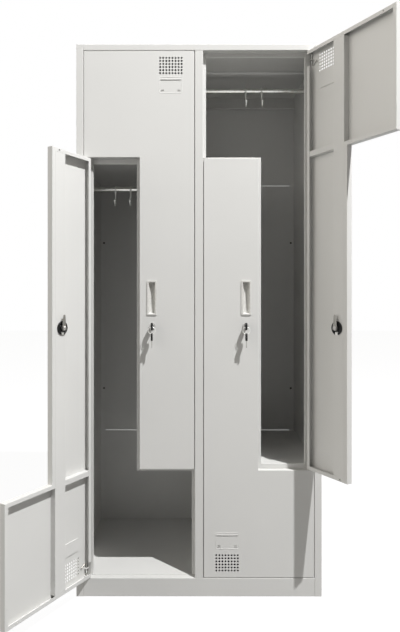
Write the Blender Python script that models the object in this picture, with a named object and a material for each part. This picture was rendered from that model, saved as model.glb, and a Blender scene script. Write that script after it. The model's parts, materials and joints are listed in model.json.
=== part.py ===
"""Z locker: a steel locker for four people, 800 x 1800 x 500 mm, with two columns of two L-shaped doors.

Blender script, in metres, +Z up, front towards -Y. The origin is the middle of the whole part's box,
on the floor. The lower left and the upper right door stand open.
"""

import math

import bmesh
import bpy

# Cabinet
CABINET_WIDTH = 0.800
CABINET_HEIGHT = 1.800
CABINET_DEPTH = 0.500
SHEET = 0.001
SEAT_GAP = 0.0003
BEND_RADIUS = 0.0015
BEND_STEPS = 2
CUT_OVERRUN = 0.005

# Front frame
STILE_WIDTH = 0.023
DIVIDER_WIDTH = 0.027
RAIL_HEIGHT = 0.020
PLINTH_HEIGHT = 0.060
STOP_SETBACK = 0.022
SIDE_STOP = 0.0285
SIDE_HEM = 0.010
DIVIDER_STOP = 0.010
DIVIDER_BOX_DEPTH = 0.0135
TOP_STOP = 0.015
TOP_HEM = 0.008

# Flanges out of sight
SIDE_FLANGE = 0.020
DIVIDER_FLANGE = 0.015
PARTITION_FLANGE = 0.010
TOP_FLANGE = 0.045
FLOOR_FLANGE = 0.020
SHELF_FLANGE = 0.015
PLINTH_RETURN = 0.040
PLINTH_FOOT = 0.025

# The Z in each column: two step levels, one partition and two half shelves
UPPER_WIDE = 0.350
LOWER_WIDE = 0.353
UPPER_SHELF_RISE = 0.006
LOWER_SHELF_RISE = 0.014
UPPER_SHELF_LIP = 0.022
LOWER_SHELF_LIP = 0.024
SHELF_HEM = 0.012
PARTITION_FACE = 0.019
PARTITION_HEM = 0.0035

# Back panels and the rivets that hold them to the side panels
BACK_JOINT_GAP = 0.001
LOWER_BACK_JOINT = 0.427
UPPER_BACK_JOINT = 1.436
RIVET_INSET = 0.014
RIVET_HEIGHTS = (0.600, 1.200)
RIVET_RADIUS = 0.0021
RIVET_HEAD_RADIUS = 0.004
RIVET_HEAD_HEIGHT = 0.0012
RIVET_FLARE_RADIUS = 0.0036
RIVET_SIDES = 8

# Hanging rods and their end sockets
ROD_RADIUS = 0.008
ROD_Y = 0.250
ROD_DROP = 0.062
ROD_SIDES = 12
SOCKET_RADIUS = 0.014
SOCKET_LENGTH = 0.004

# Coat hooks, bent from wire, with a ball on the tip
HOOK_WIRE_RADIUS = 0.00175
HOOK_SHANK_DROP = 0.052
HOOK_BEND_RADIUS = 0.010
HOOK_BALL_RADIUS = 0.0035
HOOK_PLAY = 0.0005
HOOK_EYE_START = math.radians(-60)
HOOK_EYE_STEPS = 6
HOOK_BEND_STEPS = 5
HOOK_BALL_STEPS = 3
HOOK_SIDES = 6
UPPER_HOOK_OFFSETS = (-0.020, 0.039)
LOWER_HOOK_OFFSETS = (-0.007, 0.048)

# Doors
HINGE_GAP = 0.002
DOOR_GAP = 0.0015
STRIP_GAP = 0.003
DOOR_DEPTH = 0.020
DOOR_LIP = 0.012
PIVOT_U = 0.0065
PIVOT_V = 0.0045
OPEN_ANGLE = math.radians(120)

# Vents, card holder and drain holes in each door
VENT_ROWS = 6
VENT_COLUMNS = 8
VENT_PITCH = 0.010
VENT_RADIUS = 0.003
VENT_SIDES = 4
VENT_CENTRE_U = 0.076
VENT_CENTRE_W = 0.0495
CARD_CENTRE_U = 0.0765
UPPER_CARD_W = 0.118
LOWER_CARD_W = 0.1155
CARD_HEIGHT = 0.033
CARD_SLIT_LENGTH = 0.064
CARD_SLIT_HEIGHT = 0.0016
CARD_LUG_LENGTH = 0.012
CARD_LUG_SPREAD = 0.046
DRAIN_RADIUS = 0.002
DRAIN_END_OFFSET = 0.060
DRAIN_SIDES = 6

# Door stiffeners
STIFFENER_NEAR_U = 0.121
CROSS_RAIL_WIDTH = 0.018
CROSS_RAIL_START_U = 0.0016

# Recessed handle
HANDLE_HEIGHT = 0.973
HANDLE_INSET = 0.040
CUP_OPENING_WIDTH = 0.022
CUP_OPENING_HEIGHT = 0.103
CUP_RIM_WIDTH = 0.033
CUP_RIM_HEIGHT = 0.113
CUP_RIM_THICKNESS = 0.0016
CUP_DEPTH = 0.015
CUP_WALL = 0.0008
CUP_CORNER = 0.003
CUP_EDGE = 0.0006
CUP_CORNER_STEPS = 2

# Cam lock
LOCK_HEIGHT = 0.881
LOCK_INSET = 0.0415
LOCK_SIDES = 12
LOCK_FACE_RADIUS = 0.0105
LOCK_FACE_THICKNESS = 0.0027
LOCK_FACE_EDGE = 0.0008
BARREL_RADIUS = 0.0085
LOCK_DISC_RADIUS = 0.0215
LOCK_DISC_THICKNESS = 0.0035
LOCK_DISC_RIM = 0.0015
LOCK_DISC_NOTCH_WIDTH = 0.010
LOCK_DISC_NOTCH_DEPTH = 0.005
LOCK_BOSS_RADIUS = 0.010
LOCK_BOSS_END = 0.0272
PLUG_RADIUS = 0.0057
PLUG_PROUD = 0.0002
PLUG_STUD_RADIUS = 0.004
CAM_START = 0.0282
CAM_THICKNESS = 0.002
CAM_REACH = 0.041
CAM_ROOT_RADIUS = 0.008
CAM_TIP_RADIUS = 0.0055
CAM_STEPS = 4
NUT_RADIUS = 0.0075
NUT_SIDES = 6
NUT_THICKNESS = 0.0025
STUD_PROUD = 0.0015

# Keys
KEY_BOW_LENGTH = 0.024
KEY_BOW_WIDTH = 0.023
KEY_BOW_THICKNESS = 0.003
KEY_BOW_CORNER = 0.005
KEY_CORNER_STEPS = 2
KEY_STANDOFF = 0.002
KEY_HOLE_INSET = 0.005
KEY_HOLE_RADIUS = 0.003
KEY_RING_PLAY = 0.0008
KEY_BLADE_THICKNESS = 0.002
KEY_BLADE_WIDTH = 0.0075
KEY_BLADE_LENGTH = 0.022
KEY_BLADE_ROOT = 0.004
KEY_BLADE_POINT = 0.003
KEY_RING_RADIUS = 0.012
KEY_RING_WIRE = 0.0009
KEY_RING_STEPS = 12
KEY_RING_SIDES = 5

# Spring hinge pin at each door's wide end, and its bracket
PIN_RADIUS = 0.002
PIN_HOLE_RADIUS = 0.0024
PIN_SIDES = 8
PIN_PROJECTION = 0.009
PIN_LENGTH = 0.046
PIN_COLLAR_RADIUS = 0.0027
PIN_COLLAR_LENGTH = 0.0025
PIN_COLLAR_STEP = 0.0004
PIN_LEVER_REACH = 0.024
PIN_LEVER_DROP = 0.009
PIN_LEVER_BEND = 0.006
PIN_LEVER_STEPS = 3
BRACKET_SHEET = 0.001
BRACKET_OFFSET = 0.004
BRACKET_START_U = 0.0013
BRACKET_LENGTH = 0.026
BRACKET_WIDTH = 0.0125
BRACKET_EAR = 0.0108

# Fixed hinge tab at each door's narrow end
TAB_THICKNESS = 0.0015
TAB_ROOT = 0.006
TAB_REACH = 0.013
TAB_FRONT = 0.0015
TAB_BACK = 0.010
TAB_PIN_LENGTH = 0.009

# Places that follow from the sizes above
HALF_WIDTH = CABINET_WIDTH / 2
HALF_SHEET = SHEET / 2
STILE_X = HALF_WIDTH - STILE_WIDTH
DIVIDER_X = DIVIDER_WIDTH / 2
OPENING_WIDTH = STILE_X - DIVIDER_X
COLUMN_X = (STILE_X + DIVIDER_X) / 2
OPENING_TOP = CABINET_HEIGHT - RAIL_HEIGHT
OPENING_BOTTOM = PLINTH_HEIGHT
REAR_Y = CABINET_DEPTH - SHEET - SEAT_GAP
INNER_REAR_Y = REAR_Y - SHEET - SEAT_GAP
SIDE_STOP_X = STILE_X - SIDE_STOP
SIDE_HEM_Y = STOP_SETBACK + SIDE_HEM
DIVIDER_STOP_X = DIVIDER_X + DIVIDER_STOP
DIVIDER_BACK_Y = STOP_SETBACK + DIVIDER_BOX_DEPTH
FLOOR_TOP = PLINTH_HEIGHT + SEAT_GAP + SHEET
UPPER_STEP = OPENING_TOP - UPPER_WIDE
LOWER_STEP = OPENING_BOTTOM + LOWER_WIDE
UPPER_SHELF_TOP = UPPER_STEP + UPPER_SHELF_RISE
LOWER_SHELF_TOP = LOWER_STEP + LOWER_SHELF_RISE
PARTITION_BOTTOM = LOWER_SHELF_TOP - LOWER_SHELF_LIP
PARTITION_HEM_Y = STOP_SETBACK + PARTITION_HEM
HALF_PARTITION_FACE = PARTITION_FACE / 2
SIDE_WALL_X = HALF_WIDTH - SHEET - SEAT_GAP
INNER_WALL_X = HALF_SHEET + SEAT_GAP
UPPER_ROD_Z = CABINET_HEIGHT - SHEET - ROD_DROP
LOWER_ROD_Z = UPPER_SHELF_TOP - ROD_DROP
DOOR_WIDTH = OPENING_WIDTH - HINGE_GAP - DOOR_GAP
STRIP_WIDTH = (OPENING_WIDTH - 2 * HINGE_GAP - STRIP_GAP) / 2
SIDE_PIVOT_X = STILE_X - HINGE_GAP - PIVOT_U
DIVIDER_PIVOT_X = DIVIDER_X + HINGE_GAP + PIVOT_U
STIFFENER_FAR_U = STRIP_WIDTH - DOOR_LIP - SEAT_GAP
STIFFENER_V = SHEET + SEAT_GAP
HANDLE_U = STRIP_WIDTH - HANDLE_INSET
LOCK_U = STRIP_WIDTH - LOCK_INSET
BARREL_HOLE_RADIUS = BARREL_RADIUS + SEAT_GAP

# The open doors reach furthest forward, so they set where the middle of the box lies
OPEN_DOOR_Y = (
    PIVOT_V
    - (DOOR_WIDTH - PIVOT_U) * math.sin(OPEN_ANGLE)
    + (DOOR_DEPTH - PIVOT_V) * math.cos(OPEN_ANGLE)
)
Y_SHIFT = -(CABINET_DEPTH + OPEN_DOOR_Y) / 2

SMOOTH_ANGLE = math.radians(40)

ALONG = {
    "X": lambda a, b, h: (h, a, b),
    "Y": lambda a, b, h: (a, h, b),
    "Z": lambda a, b, h: (a, b, h),
}


def clear_scene():
    for obj in list(bpy.data.objects):
        bpy.data.objects.remove(obj, do_unlink=True)


def make_material(name, colour, roughness, metallic):
    material = bpy.data.materials.new(name)
    material.use_nodes = True
    shader = material.node_tree.nodes["Principled BSDF"]
    shader.inputs["Base Color"].default_value = (*colour, 1)
    shader.inputs["Roughness"].default_value = roughness
    shader.inputs["Metallic"].default_value = metallic
    material.diffuse_color = (*colour, 1)
    return material


def prism(outline, low, high, axis):
    """A solid with this outline, from low to high along the axis."""
    return [[ALONG[axis](a, b, h) for a, b in outline] for h in (low, high)], False


def box(x, y, z):
    return prism([(x[0], y[0]), (x[1], y[0]), (x[1], y[1]), (x[0], y[1])], *z, "Z")


def turned(profile, sides, axis, centre, ring=False):
    """A solid turned from a profile of (radius, height) pairs; a ring profile closes on itself."""
    turns = [2 * math.pi * (k + 0.5) / sides for k in range(sides)]
    loops = [
        [ALONG[axis](centre[0] + r * math.cos(t), centre[1] + r * math.sin(t), h) for t in turns]
        for r, h in profile
    ]
    return loops, ring


def cylinder(radius, low, high, axis, centre, sides):
    return turned([(radius, low), (radius, high)], sides, axis, centre)


def swept(path, radii, flat, sides):
    """A round bar along a path in the (a, b) plane; flat turns (a, b, offset) into a point."""
    loops = []
    for i, (a, b) in enumerate(path):
        before, after = path[max(i - 1, 0)], path[min(i + 1, len(path) - 1)]
        run_a, run_b = after[0] - before[0], after[1] - before[1]
        length = math.hypot(run_a, run_b)
        side_a, side_b = -run_b / length, run_a / length
        turns = [2 * math.pi * k / sides for k in range(sides)]
        loops.append([
            flat(
                a + side_a * radii[i] * math.cos(t),
                b + side_b * radii[i] * math.cos(t),
                radii[i] * math.sin(t),
            )
            for t in turns
        ])
    return loops, False


def arc(centre, radius, start, end, steps):
    angles = [start + (end - start) * k / steps for k in range(steps + 1)]
    return [(centre[0] + radius * math.cos(t), centre[1] + radius * math.sin(t)) for t in angles]


def rounded_rectangle(width, height, corner, steps):
    """Counter-clockwise outline round the zero point."""
    points = []
    for quarter, (side_a, side_b) in enumerate(((1, 1), (-1, 1), (-1, -1), (1, -1))):
        centre = (side_a * (width / 2 - corner), side_b * (height / 2 - corner))
        start = quarter * math.pi / 2
        points += arc(centre, corner, start, start + math.pi / 2, steps)
    return points


def bent_outline(path, sheet=SHEET, radius=BEND_RADIUS):
    """Cross-section of a bent sheet: the path is its outer face, and the sheet lies on the left."""
    near, far = [], []
    runs = []
    for (a0, b0), (a1, b1) in zip(path, path[1:]):
        length = math.hypot(a1 - a0, b1 - b0)
        runs.append(((a1 - a0) / length, (b1 - b0) / length))
    for i, (a, b) in enumerate(path):
        if i in (0, len(path) - 1):
            run = runs[0] if i == 0 else runs[-1]
            near.append((a, b))
            far.append((a - run[1] * sheet, b + run[0] * sheet))
            continue
        before, after = runs[i - 1], runs[i]
        left = 1 if before[0] * after[1] - before[1] * after[0] > 0 else -1
        bend = radius if left > 0 else radius - sheet
        turn = math.acos(before[0] * after[0] + before[1] * after[1])
        back = bend * math.tan(turn / 2)
        centre = (
            a - before[0] * back - before[1] * left * bend,
            b - before[1] * back + before[0] * left * bend,
        )
        start = math.atan2(-left * before[0], left * before[1])
        end = start + left * turn
        near += arc(centre, bend, start, end, BEND_STEPS)
        far += arc(centre, bend - left * sheet, start, end, BEND_STEPS)
    return near + far[::-1]


def build_mesh(name, solids, place):
    """One mesh from solids, each a list of loops that is capped at both ends or closed as a ring."""
    bm = bmesh.new()
    for loops, ring in solids:
        rows = [[bm.verts.new(place(*point)) for point in loop] for loop in loops]
        for near, far in zip(rows, rows[1:] + rows[:1] if ring else rows[1:]):
            for i in range(len(near)):
                j = (i + 1) % len(near)
                bm.faces.new((near[i], near[j], far[j], far[i]))
        if not ring:
            bm.faces.new(rows[0])
            bm.faces.new(rows[-1])
    bmesh.ops.recalc_face_normals(bm, faces=bm.faces)
    mesh = bpy.data.meshes.new(name)
    bm.to_mesh(mesh)
    bm.free()
    mesh.shade_smooth()
    mesh.set_sharp_from_angle(angle=SMOOTH_ANGLE)
    return mesh


def make_piece(name, solids, place, material, parent=None, location=(0, 0, 0)):
    mesh = build_mesh(name, solids, place)
    mesh.materials.append(material)
    piece = bpy.data.objects.new(name, mesh)
    bpy.context.scene.collection.objects.link(piece)
    piece.parent = parent
    piece.location = location
    return piece


def make_empty(name, location, parent=None, turn=0):
    empty = bpy.data.objects.new(name, None)
    empty.empty_display_size = DOOR_LIP
    bpy.context.scene.collection.objects.link(empty)
    empty.parent = parent
    empty.location = location
    empty.rotation_euler = (0, 0, turn)
    return empty


def combine(piece, operation, solids, place):
    """Cuts the solids from the piece, or joins them to it, with a Boolean against a hidden helper."""
    label = f"{piece.name}_{operation.lower()}_{len(piece.modifiers) + 1}"
    helper = bpy.data.objects.new(label, build_mesh(label, solids, place))
    bpy.context.scene.collection.objects.link(helper)
    helper.parent = piece.parent
    helper.location = piece.location
    helper.display_type = "WIRE"
    helper.hide_render = True
    modifier = piece.modifiers.new(label, "BOOLEAN")
    modifier.operation = operation
    modifier.object = helper
    modifier.solver = "EXACT"


def in_cabinet(x, y, z):
    return x, y + Y_SHIFT, z


def mirrored(side):
    return lambda x, y, z: (side * x, y + Y_SHIFT, z)


def build_side_panels(paint):
    """Each side panel is one sheet: rear flange, side, stile, jamb, door stop and a hem."""
    path = [
        (HALF_WIDTH - SIDE_FLANGE, REAR_Y),
        (HALF_WIDTH, REAR_Y),
        (HALF_WIDTH, 0),
        (STILE_X, 0),
        (STILE_X, STOP_SETBACK),
        (SIDE_STOP_X, STOP_SETBACK),
        (SIDE_STOP_X, SIDE_HEM_Y),
    ]
    outline = bent_outline([(-x, y) for x, y in path])
    top = CABINET_HEIGHT - SHEET - SEAT_GAP
    for side, name, tab_z in ((-1, "left", UPPER_STEP), (1, "right", LOWER_STEP)):
        place = mirrored(-side)
        panel = make_piece(f"{name}_side_panel", [prism(outline, 0, top, "Z")], place, paint)
        head_y = REAR_Y - SHEET
        rivet = [
            (RIVET_RADIUS, head_y - RIVET_HEAD_HEIGHT),
            (RIVET_HEAD_RADIUS, head_y),
            (RIVET_HEAD_RADIUS, head_y + SHEET / 2),
            (RIVET_RADIUS, head_y + SHEET / 2),
            (RIVET_RADIUS, CABINET_DEPTH - SHEET),
            (RIVET_FLARE_RADIUS, CABINET_DEPTH),
        ]
        rivets = [
            turned(rivet, RIVET_SIDES, "Y", (RIVET_INSET - HALF_WIDTH, z)) for z in RIVET_HEIGHTS
        ]
        combine(panel, "UNION", rivets, place)
        add_hinge_tab(panel, place, -STILE_X, 1, tab_z, side)


def add_hinge_tab(panel, place, jamb_x, side, step_z, pin_way):
    """Welds a plate into a jamb between two doors, with a fixed pin up or down into one of them."""
    ends = (jamb_x - side * TAB_ROOT, jamb_x + side * (HINGE_GAP + TAB_REACH))
    z = (step_z - TAB_THICKNESS / 2, step_z + TAB_THICKNESS / 2)
    combine(panel, "UNION", [box(sorted(ends), (TAB_FRONT, TAB_BACK), z)], place)
    pin_z = sorted((step_z, step_z + pin_way * TAB_PIN_LENGTH))
    centre = (jamb_x + side * (HINGE_GAP + PIVOT_U), PIVOT_V)
    combine(panel, "UNION", [cylinder(PIN_RADIUS, *pin_z, "Z", centre, PIN_SIDES)], place)


def build_centre_divider(paint):
    """One sheet: a box profile in front that carries two doors, then the wall and its rear flange."""
    path = [
        (-HALF_SHEET - SEAT_GAP, DIVIDER_BACK_Y),
        (-DIVIDER_STOP_X, DIVIDER_BACK_Y),
        (-DIVIDER_STOP_X, STOP_SETBACK),
        (-DIVIDER_X, STOP_SETBACK),
        (-DIVIDER_X, 0),
        (DIVIDER_X, 0),
        (DIVIDER_X, STOP_SETBACK),
        (DIVIDER_STOP_X, STOP_SETBACK),
        (DIVIDER_STOP_X, DIVIDER_BACK_Y),
        (HALF_SHEET, DIVIDER_BACK_Y),
        (HALF_SHEET, REAR_Y - SHEET),
        (DIVIDER_FLANGE, REAR_Y - SHEET),
    ]
    low = OPENING_BOTTOM + SEAT_GAP
    high = CABINET_HEIGHT - SHEET - SEAT_GAP
    divider = make_piece(
        "centre_divider", [prism(bent_outline(path), low, high, "Z")], in_cabinet, paint
    )
    across = (-DIVIDER_STOP_X - CUT_OVERRUN, DIVIDER_STOP_X + CUT_OVERRUN)
    under_rail = (OPENING_TOP - SEAT_GAP, high + CUT_OVERRUN)
    over_floor = (low - CUT_OVERRUN, FLOOR_TOP + SEAT_GAP)
    combine(divider, "DIFFERENCE", [
        box(across, (-CUT_OVERRUN, DIVIDER_BACK_Y + SEAT_GAP), under_rail),
        box(across, (STOP_SETBACK + SEAT_GAP, REAR_Y + CUT_OVERRUN), over_floor),
    ], in_cabinet)
    add_hinge_tab(divider, in_cabinet, -DIVIDER_X, -1, LOWER_STEP, 1)
    add_hinge_tab(divider, in_cabinet, DIVIDER_X, 1, UPPER_STEP, -1)


def pin_hole(x, z):
    """The hole that a spring hinge pin enters, through a level return."""
    low, high = z - SHEET - CUT_OVERRUN, z + SHEET + CUT_OVERRUN
    return cylinder(PIN_HOLE_RADIUS, low, high, "Z", (x, PIVOT_V), PIN_SIDES)


def front_corners(low, high):
    """Cuts that leave room for the stiles and the side stops at both ends of a cross piece."""
    cuts = []
    for side in (-1, 1):
        stile = side * (STILE_X - SEAT_GAP)
        stop = side * (SIDE_STOP_X - SEAT_GAP)
        outside = side * (HALF_WIDTH + CUT_OVERRUN)
        back = SIDE_HEM_Y + SEAT_GAP
        outline = [
            (outside, -CUT_OVERRUN),
            (stile, -CUT_OVERRUN),
            (stile, STOP_SETBACK - SEAT_GAP),
            (stop, STOP_SETBACK - SEAT_GAP),
            (stop, back),
            (stile, back),
            (stile, CABINET_DEPTH + CUT_OVERRUN),
            (outside, CABINET_DEPTH + CUT_OVERRUN),
        ]
        cuts.append(prism(outline, low, high, "Z"))
    return cuts


def build_top_panel(paint):
    """One sheet: rear flange, top, front rail, its return and the door stop."""
    path = [
        (REAR_Y, CABINET_HEIGHT - TOP_FLANGE),
        (REAR_Y, CABINET_HEIGHT),
        (0, CABINET_HEIGHT),
        (0, OPENING_TOP),
        (STOP_SETBACK, OPENING_TOP),
        (STOP_SETBACK, OPENING_TOP - TOP_STOP),
        (STOP_SETBACK + TOP_HEM, OPENING_TOP - TOP_STOP),
    ]
    top = make_piece(
        "top_panel",
        [prism(bent_outline(path), -HALF_WIDTH, HALF_WIDTH, "X")],
        in_cabinet,
        paint,
    )
    below = CABINET_HEIGHT - TOP_FLANGE - CUT_OVERRUN
    divider_x = DIVIDER_STOP_X + SEAT_GAP
    holes = [
        box(
            (-divider_x, divider_x),
            (STOP_SETBACK - SEAT_GAP, DIVIDER_BACK_Y + SEAT_GAP),
            (below, OPENING_TOP - SEAT_GAP / 2),
        ),
        box(
            (-HALF_SHEET - SEAT_GAP, DIVIDER_FLANGE + SEAT_GAP),
            (REAR_Y - 2 * SHEET, REAR_Y + CUT_OVERRUN),
            (below, CABINET_HEIGHT - SHEET),
        ),
        pin_hole(-DIVIDER_PIVOT_X, OPENING_TOP),
        pin_hole(SIDE_PIVOT_X, OPENING_TOP),
    ]
    corners = front_corners(below, CABINET_HEIGHT - SHEET)
    combine(top, "DIFFERENCE", holes + corners, in_cabinet)


def build_plinth(paint):
    """Kick plate: a level return under the floor, the face and a foot flange."""
    path = [
        (PLINTH_RETURN, PLINTH_HEIGHT),
        (0, PLINTH_HEIGHT),
        (0, 0),
        (PLINTH_FOOT, 0),
    ]
    reach = STILE_X - SEAT_GAP
    plinth = make_piece(
        "plinth", [prism(bent_outline(path), -reach, reach, "X")], in_cabinet, paint
    )
    holes = [pin_hole(-SIDE_PIVOT_X, PLINTH_HEIGHT), pin_hole(DIVIDER_PIVOT_X, PLINTH_HEIGHT)]
    for side in (-1, 1):
        stop, end = side * (SIDE_STOP_X - SEAT_GAP), side * (reach + CUT_OVERRUN)
        y = (STOP_SETBACK - SEAT_GAP, PLINTH_RETURN + CUT_OVERRUN)
        z = (-CUT_OVERRUN, PLINTH_HEIGHT + CUT_OVERRUN)
        holes.append(box((min(stop, end), max(stop, end)), y, z))
    combine(plinth, "DIFFERENCE", holes, in_cabinet)


def build_bottom_panel(paint):
    path = [
        (INNER_REAR_Y, FLOOR_TOP - FLOOR_FLANGE),
        (INNER_REAR_Y, FLOOR_TOP),
        (STOP_SETBACK + SHEET / 2, FLOOR_TOP),
    ]
    floor = make_piece(
        "bottom_panel",
        [prism(bent_outline(path), -SIDE_WALL_X, SIDE_WALL_X, "X")],
        in_cabinet,
        paint,
    )
    corners = []
    for side in (-1, 1):
        near, far = side * (SIDE_STOP_X - SEAT_GAP), side * (SIDE_WALL_X + CUT_OVERRUN)
        y = (0, SIDE_HEM_Y + SEAT_GAP)
        z = (FLOOR_TOP - FLOOR_FLANGE, FLOOR_TOP + CUT_OVERRUN)
        corners.append(box((min(near, far), max(near, far)), y, z))
    combine(floor, "DIFFERENCE", corners, in_cabinet)


def build_back(paint):
    """Three back panels between the step levels, with seats for the rivets of the side panels."""
    half_gap = BACK_JOINT_GAP / 2
    y = (CABINET_DEPTH - SHEET, CABINET_DEPTH)
    levels = {
        "back_panel_bottom": (0, LOWER_BACK_JOINT - half_gap),
        "back_panel_middle": (LOWER_BACK_JOINT + half_gap, UPPER_BACK_JOINT - half_gap),
        "back_panel_top": (UPPER_BACK_JOINT + half_gap, CABINET_HEIGHT),
    }
    panels = {
        name: make_piece(name, [box((-HALF_WIDTH, HALF_WIDTH), y, z)], in_cabinet, paint)
        for name, z in levels.items()
    }
    seats = []
    for side in (-1, 1):
        for z in RIVET_HEIGHTS:
            centre = (side * (HALF_WIDTH - RIVET_INSET), z)
            seat = [
                (RIVET_RADIUS + SEAT_GAP, y[0] - SEAT_GAP),
                (RIVET_RADIUS + SEAT_GAP, y[0]),
                (RIVET_FLARE_RADIUS + SEAT_GAP, y[1]),
                (RIVET_FLARE_RADIUS + SEAT_GAP, y[1] + SEAT_GAP),
            ]
            seats.append(turned(seat, RIVET_SIDES, "Y", centre))
    combine(panels["back_panel_middle"], "DIFFERENCE", seats, in_cabinet)


def build_partition(name, column_x, paint):
    """One sheet: a narrow front face that both doors of a column close against, a wall and a flange."""
    path = [
        (-HALF_SHEET - SEAT_GAP, PARTITION_HEM_Y),
        (-HALF_PARTITION_FACE, PARTITION_HEM_Y),
        (-HALF_PARTITION_FACE, STOP_SETBACK),
        (HALF_PARTITION_FACE, STOP_SETBACK),
        (HALF_PARTITION_FACE, PARTITION_HEM_Y),
        (HALF_SHEET, PARTITION_HEM_Y),
        (HALF_SHEET, REAR_Y - SHEET),
        (PARTITION_FLANGE, REAR_Y - SHEET),
    ]
    outline = bent_outline([(column_x + x, y) for x, y in path])
    solid = prism(outline, PARTITION_BOTTOM, UPPER_SHELF_TOP, "Z")
    make_piece(f"{name}_partition", [solid], in_cabinet, paint)


def build_shelves(name, column_x, left_x, right_x, paint):
    """The upper shelf covers the left half of a column, the lower one the right half."""
    if column_x < 0:
        left_notch = (left_x - CUT_OVERRUN, SEAT_GAP - SIDE_STOP_X, SIDE_HEM_Y)
        right_notch = (-DIVIDER_STOP_X - SEAT_GAP, right_x + CUT_OVERRUN, DIVIDER_BACK_Y)
    else:
        left_notch = (left_x - CUT_OVERRUN, DIVIDER_STOP_X + SEAT_GAP, DIVIDER_BACK_Y)
        right_notch = (SIDE_STOP_X - SEAT_GAP, right_x + CUT_OVERRUN, SIDE_HEM_Y)
    hem = HALF_PARTITION_FACE + SEAT_GAP
    partition_notch = (column_x - hem, column_x + hem, PARTITION_HEM_Y)
    beside = HALF_SHEET + SEAT_GAP
    half_shelves = (
        ("upper", UPPER_SHELF_TOP, UPPER_SHELF_LIP, left_x, column_x - beside, left_notch),
        ("lower", LOWER_SHELF_TOP, LOWER_SHELF_LIP, column_x + beside, right_x, right_notch),
    )
    for level, z, lip, start, end, wall_notch in half_shelves:
        path = [
            (INNER_REAR_Y, z - SHELF_FLANGE),
            (INNER_REAR_Y, z),
            (STOP_SETBACK, z),
            (STOP_SETBACK, z - lip),
            (STOP_SETBACK + SHELF_HEM, z - lip),
        ]
        solid = prism(bent_outline(path), start, end, "X")
        shelf = make_piece(f"{name}_{level}_shelf", [solid], in_cabinet, paint)
        cuts = [
            box(
                (near, far),
                (STOP_SETBACK - CUT_OVERRUN, back + SEAT_GAP),
                (z - lip - CUT_OVERRUN, z + CUT_OVERRUN),
            )
            for near, far, back in (wall_notch, partition_notch)
        ]
        combine(shelf, "DIFFERENCE", cuts, in_cabinet)


def build_rods(columns, steel):
    """A full rod over each column and a half rod under each upper shelf, with end sockets."""
    for name, (column_x, left_x, right_x) in columns.items():
        half_end = column_x - HALF_SHEET - SEAT_GAP
        for level, z, start, end in (
            ("upper", UPPER_ROD_Z, left_x, right_x),
            ("lower", LOWER_ROD_Z, left_x, half_end),
        ):
            profile = [
                (SOCKET_RADIUS, start),
                (SOCKET_RADIUS, start + SOCKET_LENGTH),
                (ROD_RADIUS, start + SOCKET_LENGTH),
                (ROD_RADIUS, end - SOCKET_LENGTH),
                (SOCKET_RADIUS, end - SOCKET_LENGTH),
                (SOCKET_RADIUS, end),
            ]
            rod = turned(profile, ROD_SIDES, "X", (ROD_Y, z))
            make_piece(f"{name}_{level}_rod", [rod], in_cabinet, steel)


def hook_solid():
    """A wire hook: an open eye over the rod, a straight shank, a bend forward and a ball."""
    eye_radius = ROD_RADIUS + HOOK_PLAY + HOOK_WIRE_RADIUS
    path = arc((0, 0), eye_radius, HOOK_EYE_START, math.pi, HOOK_EYE_STEPS)
    bend_centre = (-eye_radius - HOOK_BEND_RADIUS, -HOOK_SHANK_DROP)
    path += arc(bend_centre, HOOK_BEND_RADIUS, 0, -math.pi, HOOK_BEND_STEPS)
    radii = [HOOK_WIRE_RADIUS] * len(path)
    tip_y, tip_z = path[-1]
    neck = math.sqrt(HOOK_BALL_RADIUS**2 - HOOK_WIRE_RADIUS**2)
    ball_z = tip_z + neck + HOOK_WIRE_RADIUS
    for k in range(1, HOOK_BALL_STEPS + 1):
        angle = math.pi * k / (HOOK_BALL_STEPS + 1)
        path.append((tip_y, ball_z - HOOK_BALL_RADIUS * math.cos(angle)))
        radii.append(HOOK_BALL_RADIUS * math.sin(angle))
    return swept(path, radii, lambda y, z, x: (x, y, z), HOOK_SIDES)


def build_hooks(name, column_x, left_x, steel):
    half_x = (left_x + column_x) / 2
    places = {
        "upper_hook_1": (column_x + UPPER_HOOK_OFFSETS[0], UPPER_ROD_Z),
        "upper_hook_2": (column_x + UPPER_HOOK_OFFSETS[1], UPPER_ROD_Z),
        "lower_hook_1": (half_x + LOWER_HOOK_OFFSETS[0], LOWER_ROD_Z),
        "lower_hook_2": (half_x + LOWER_HOOK_OFFSETS[1], LOWER_ROD_Z),
    }
    for label, (x, z) in places.items():
        spot = in_cabinet(x, ROD_Y, z)
        make_piece(f"{name}_{label}", [hook_solid()], lambda *p: p, steel, location=spot)


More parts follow.
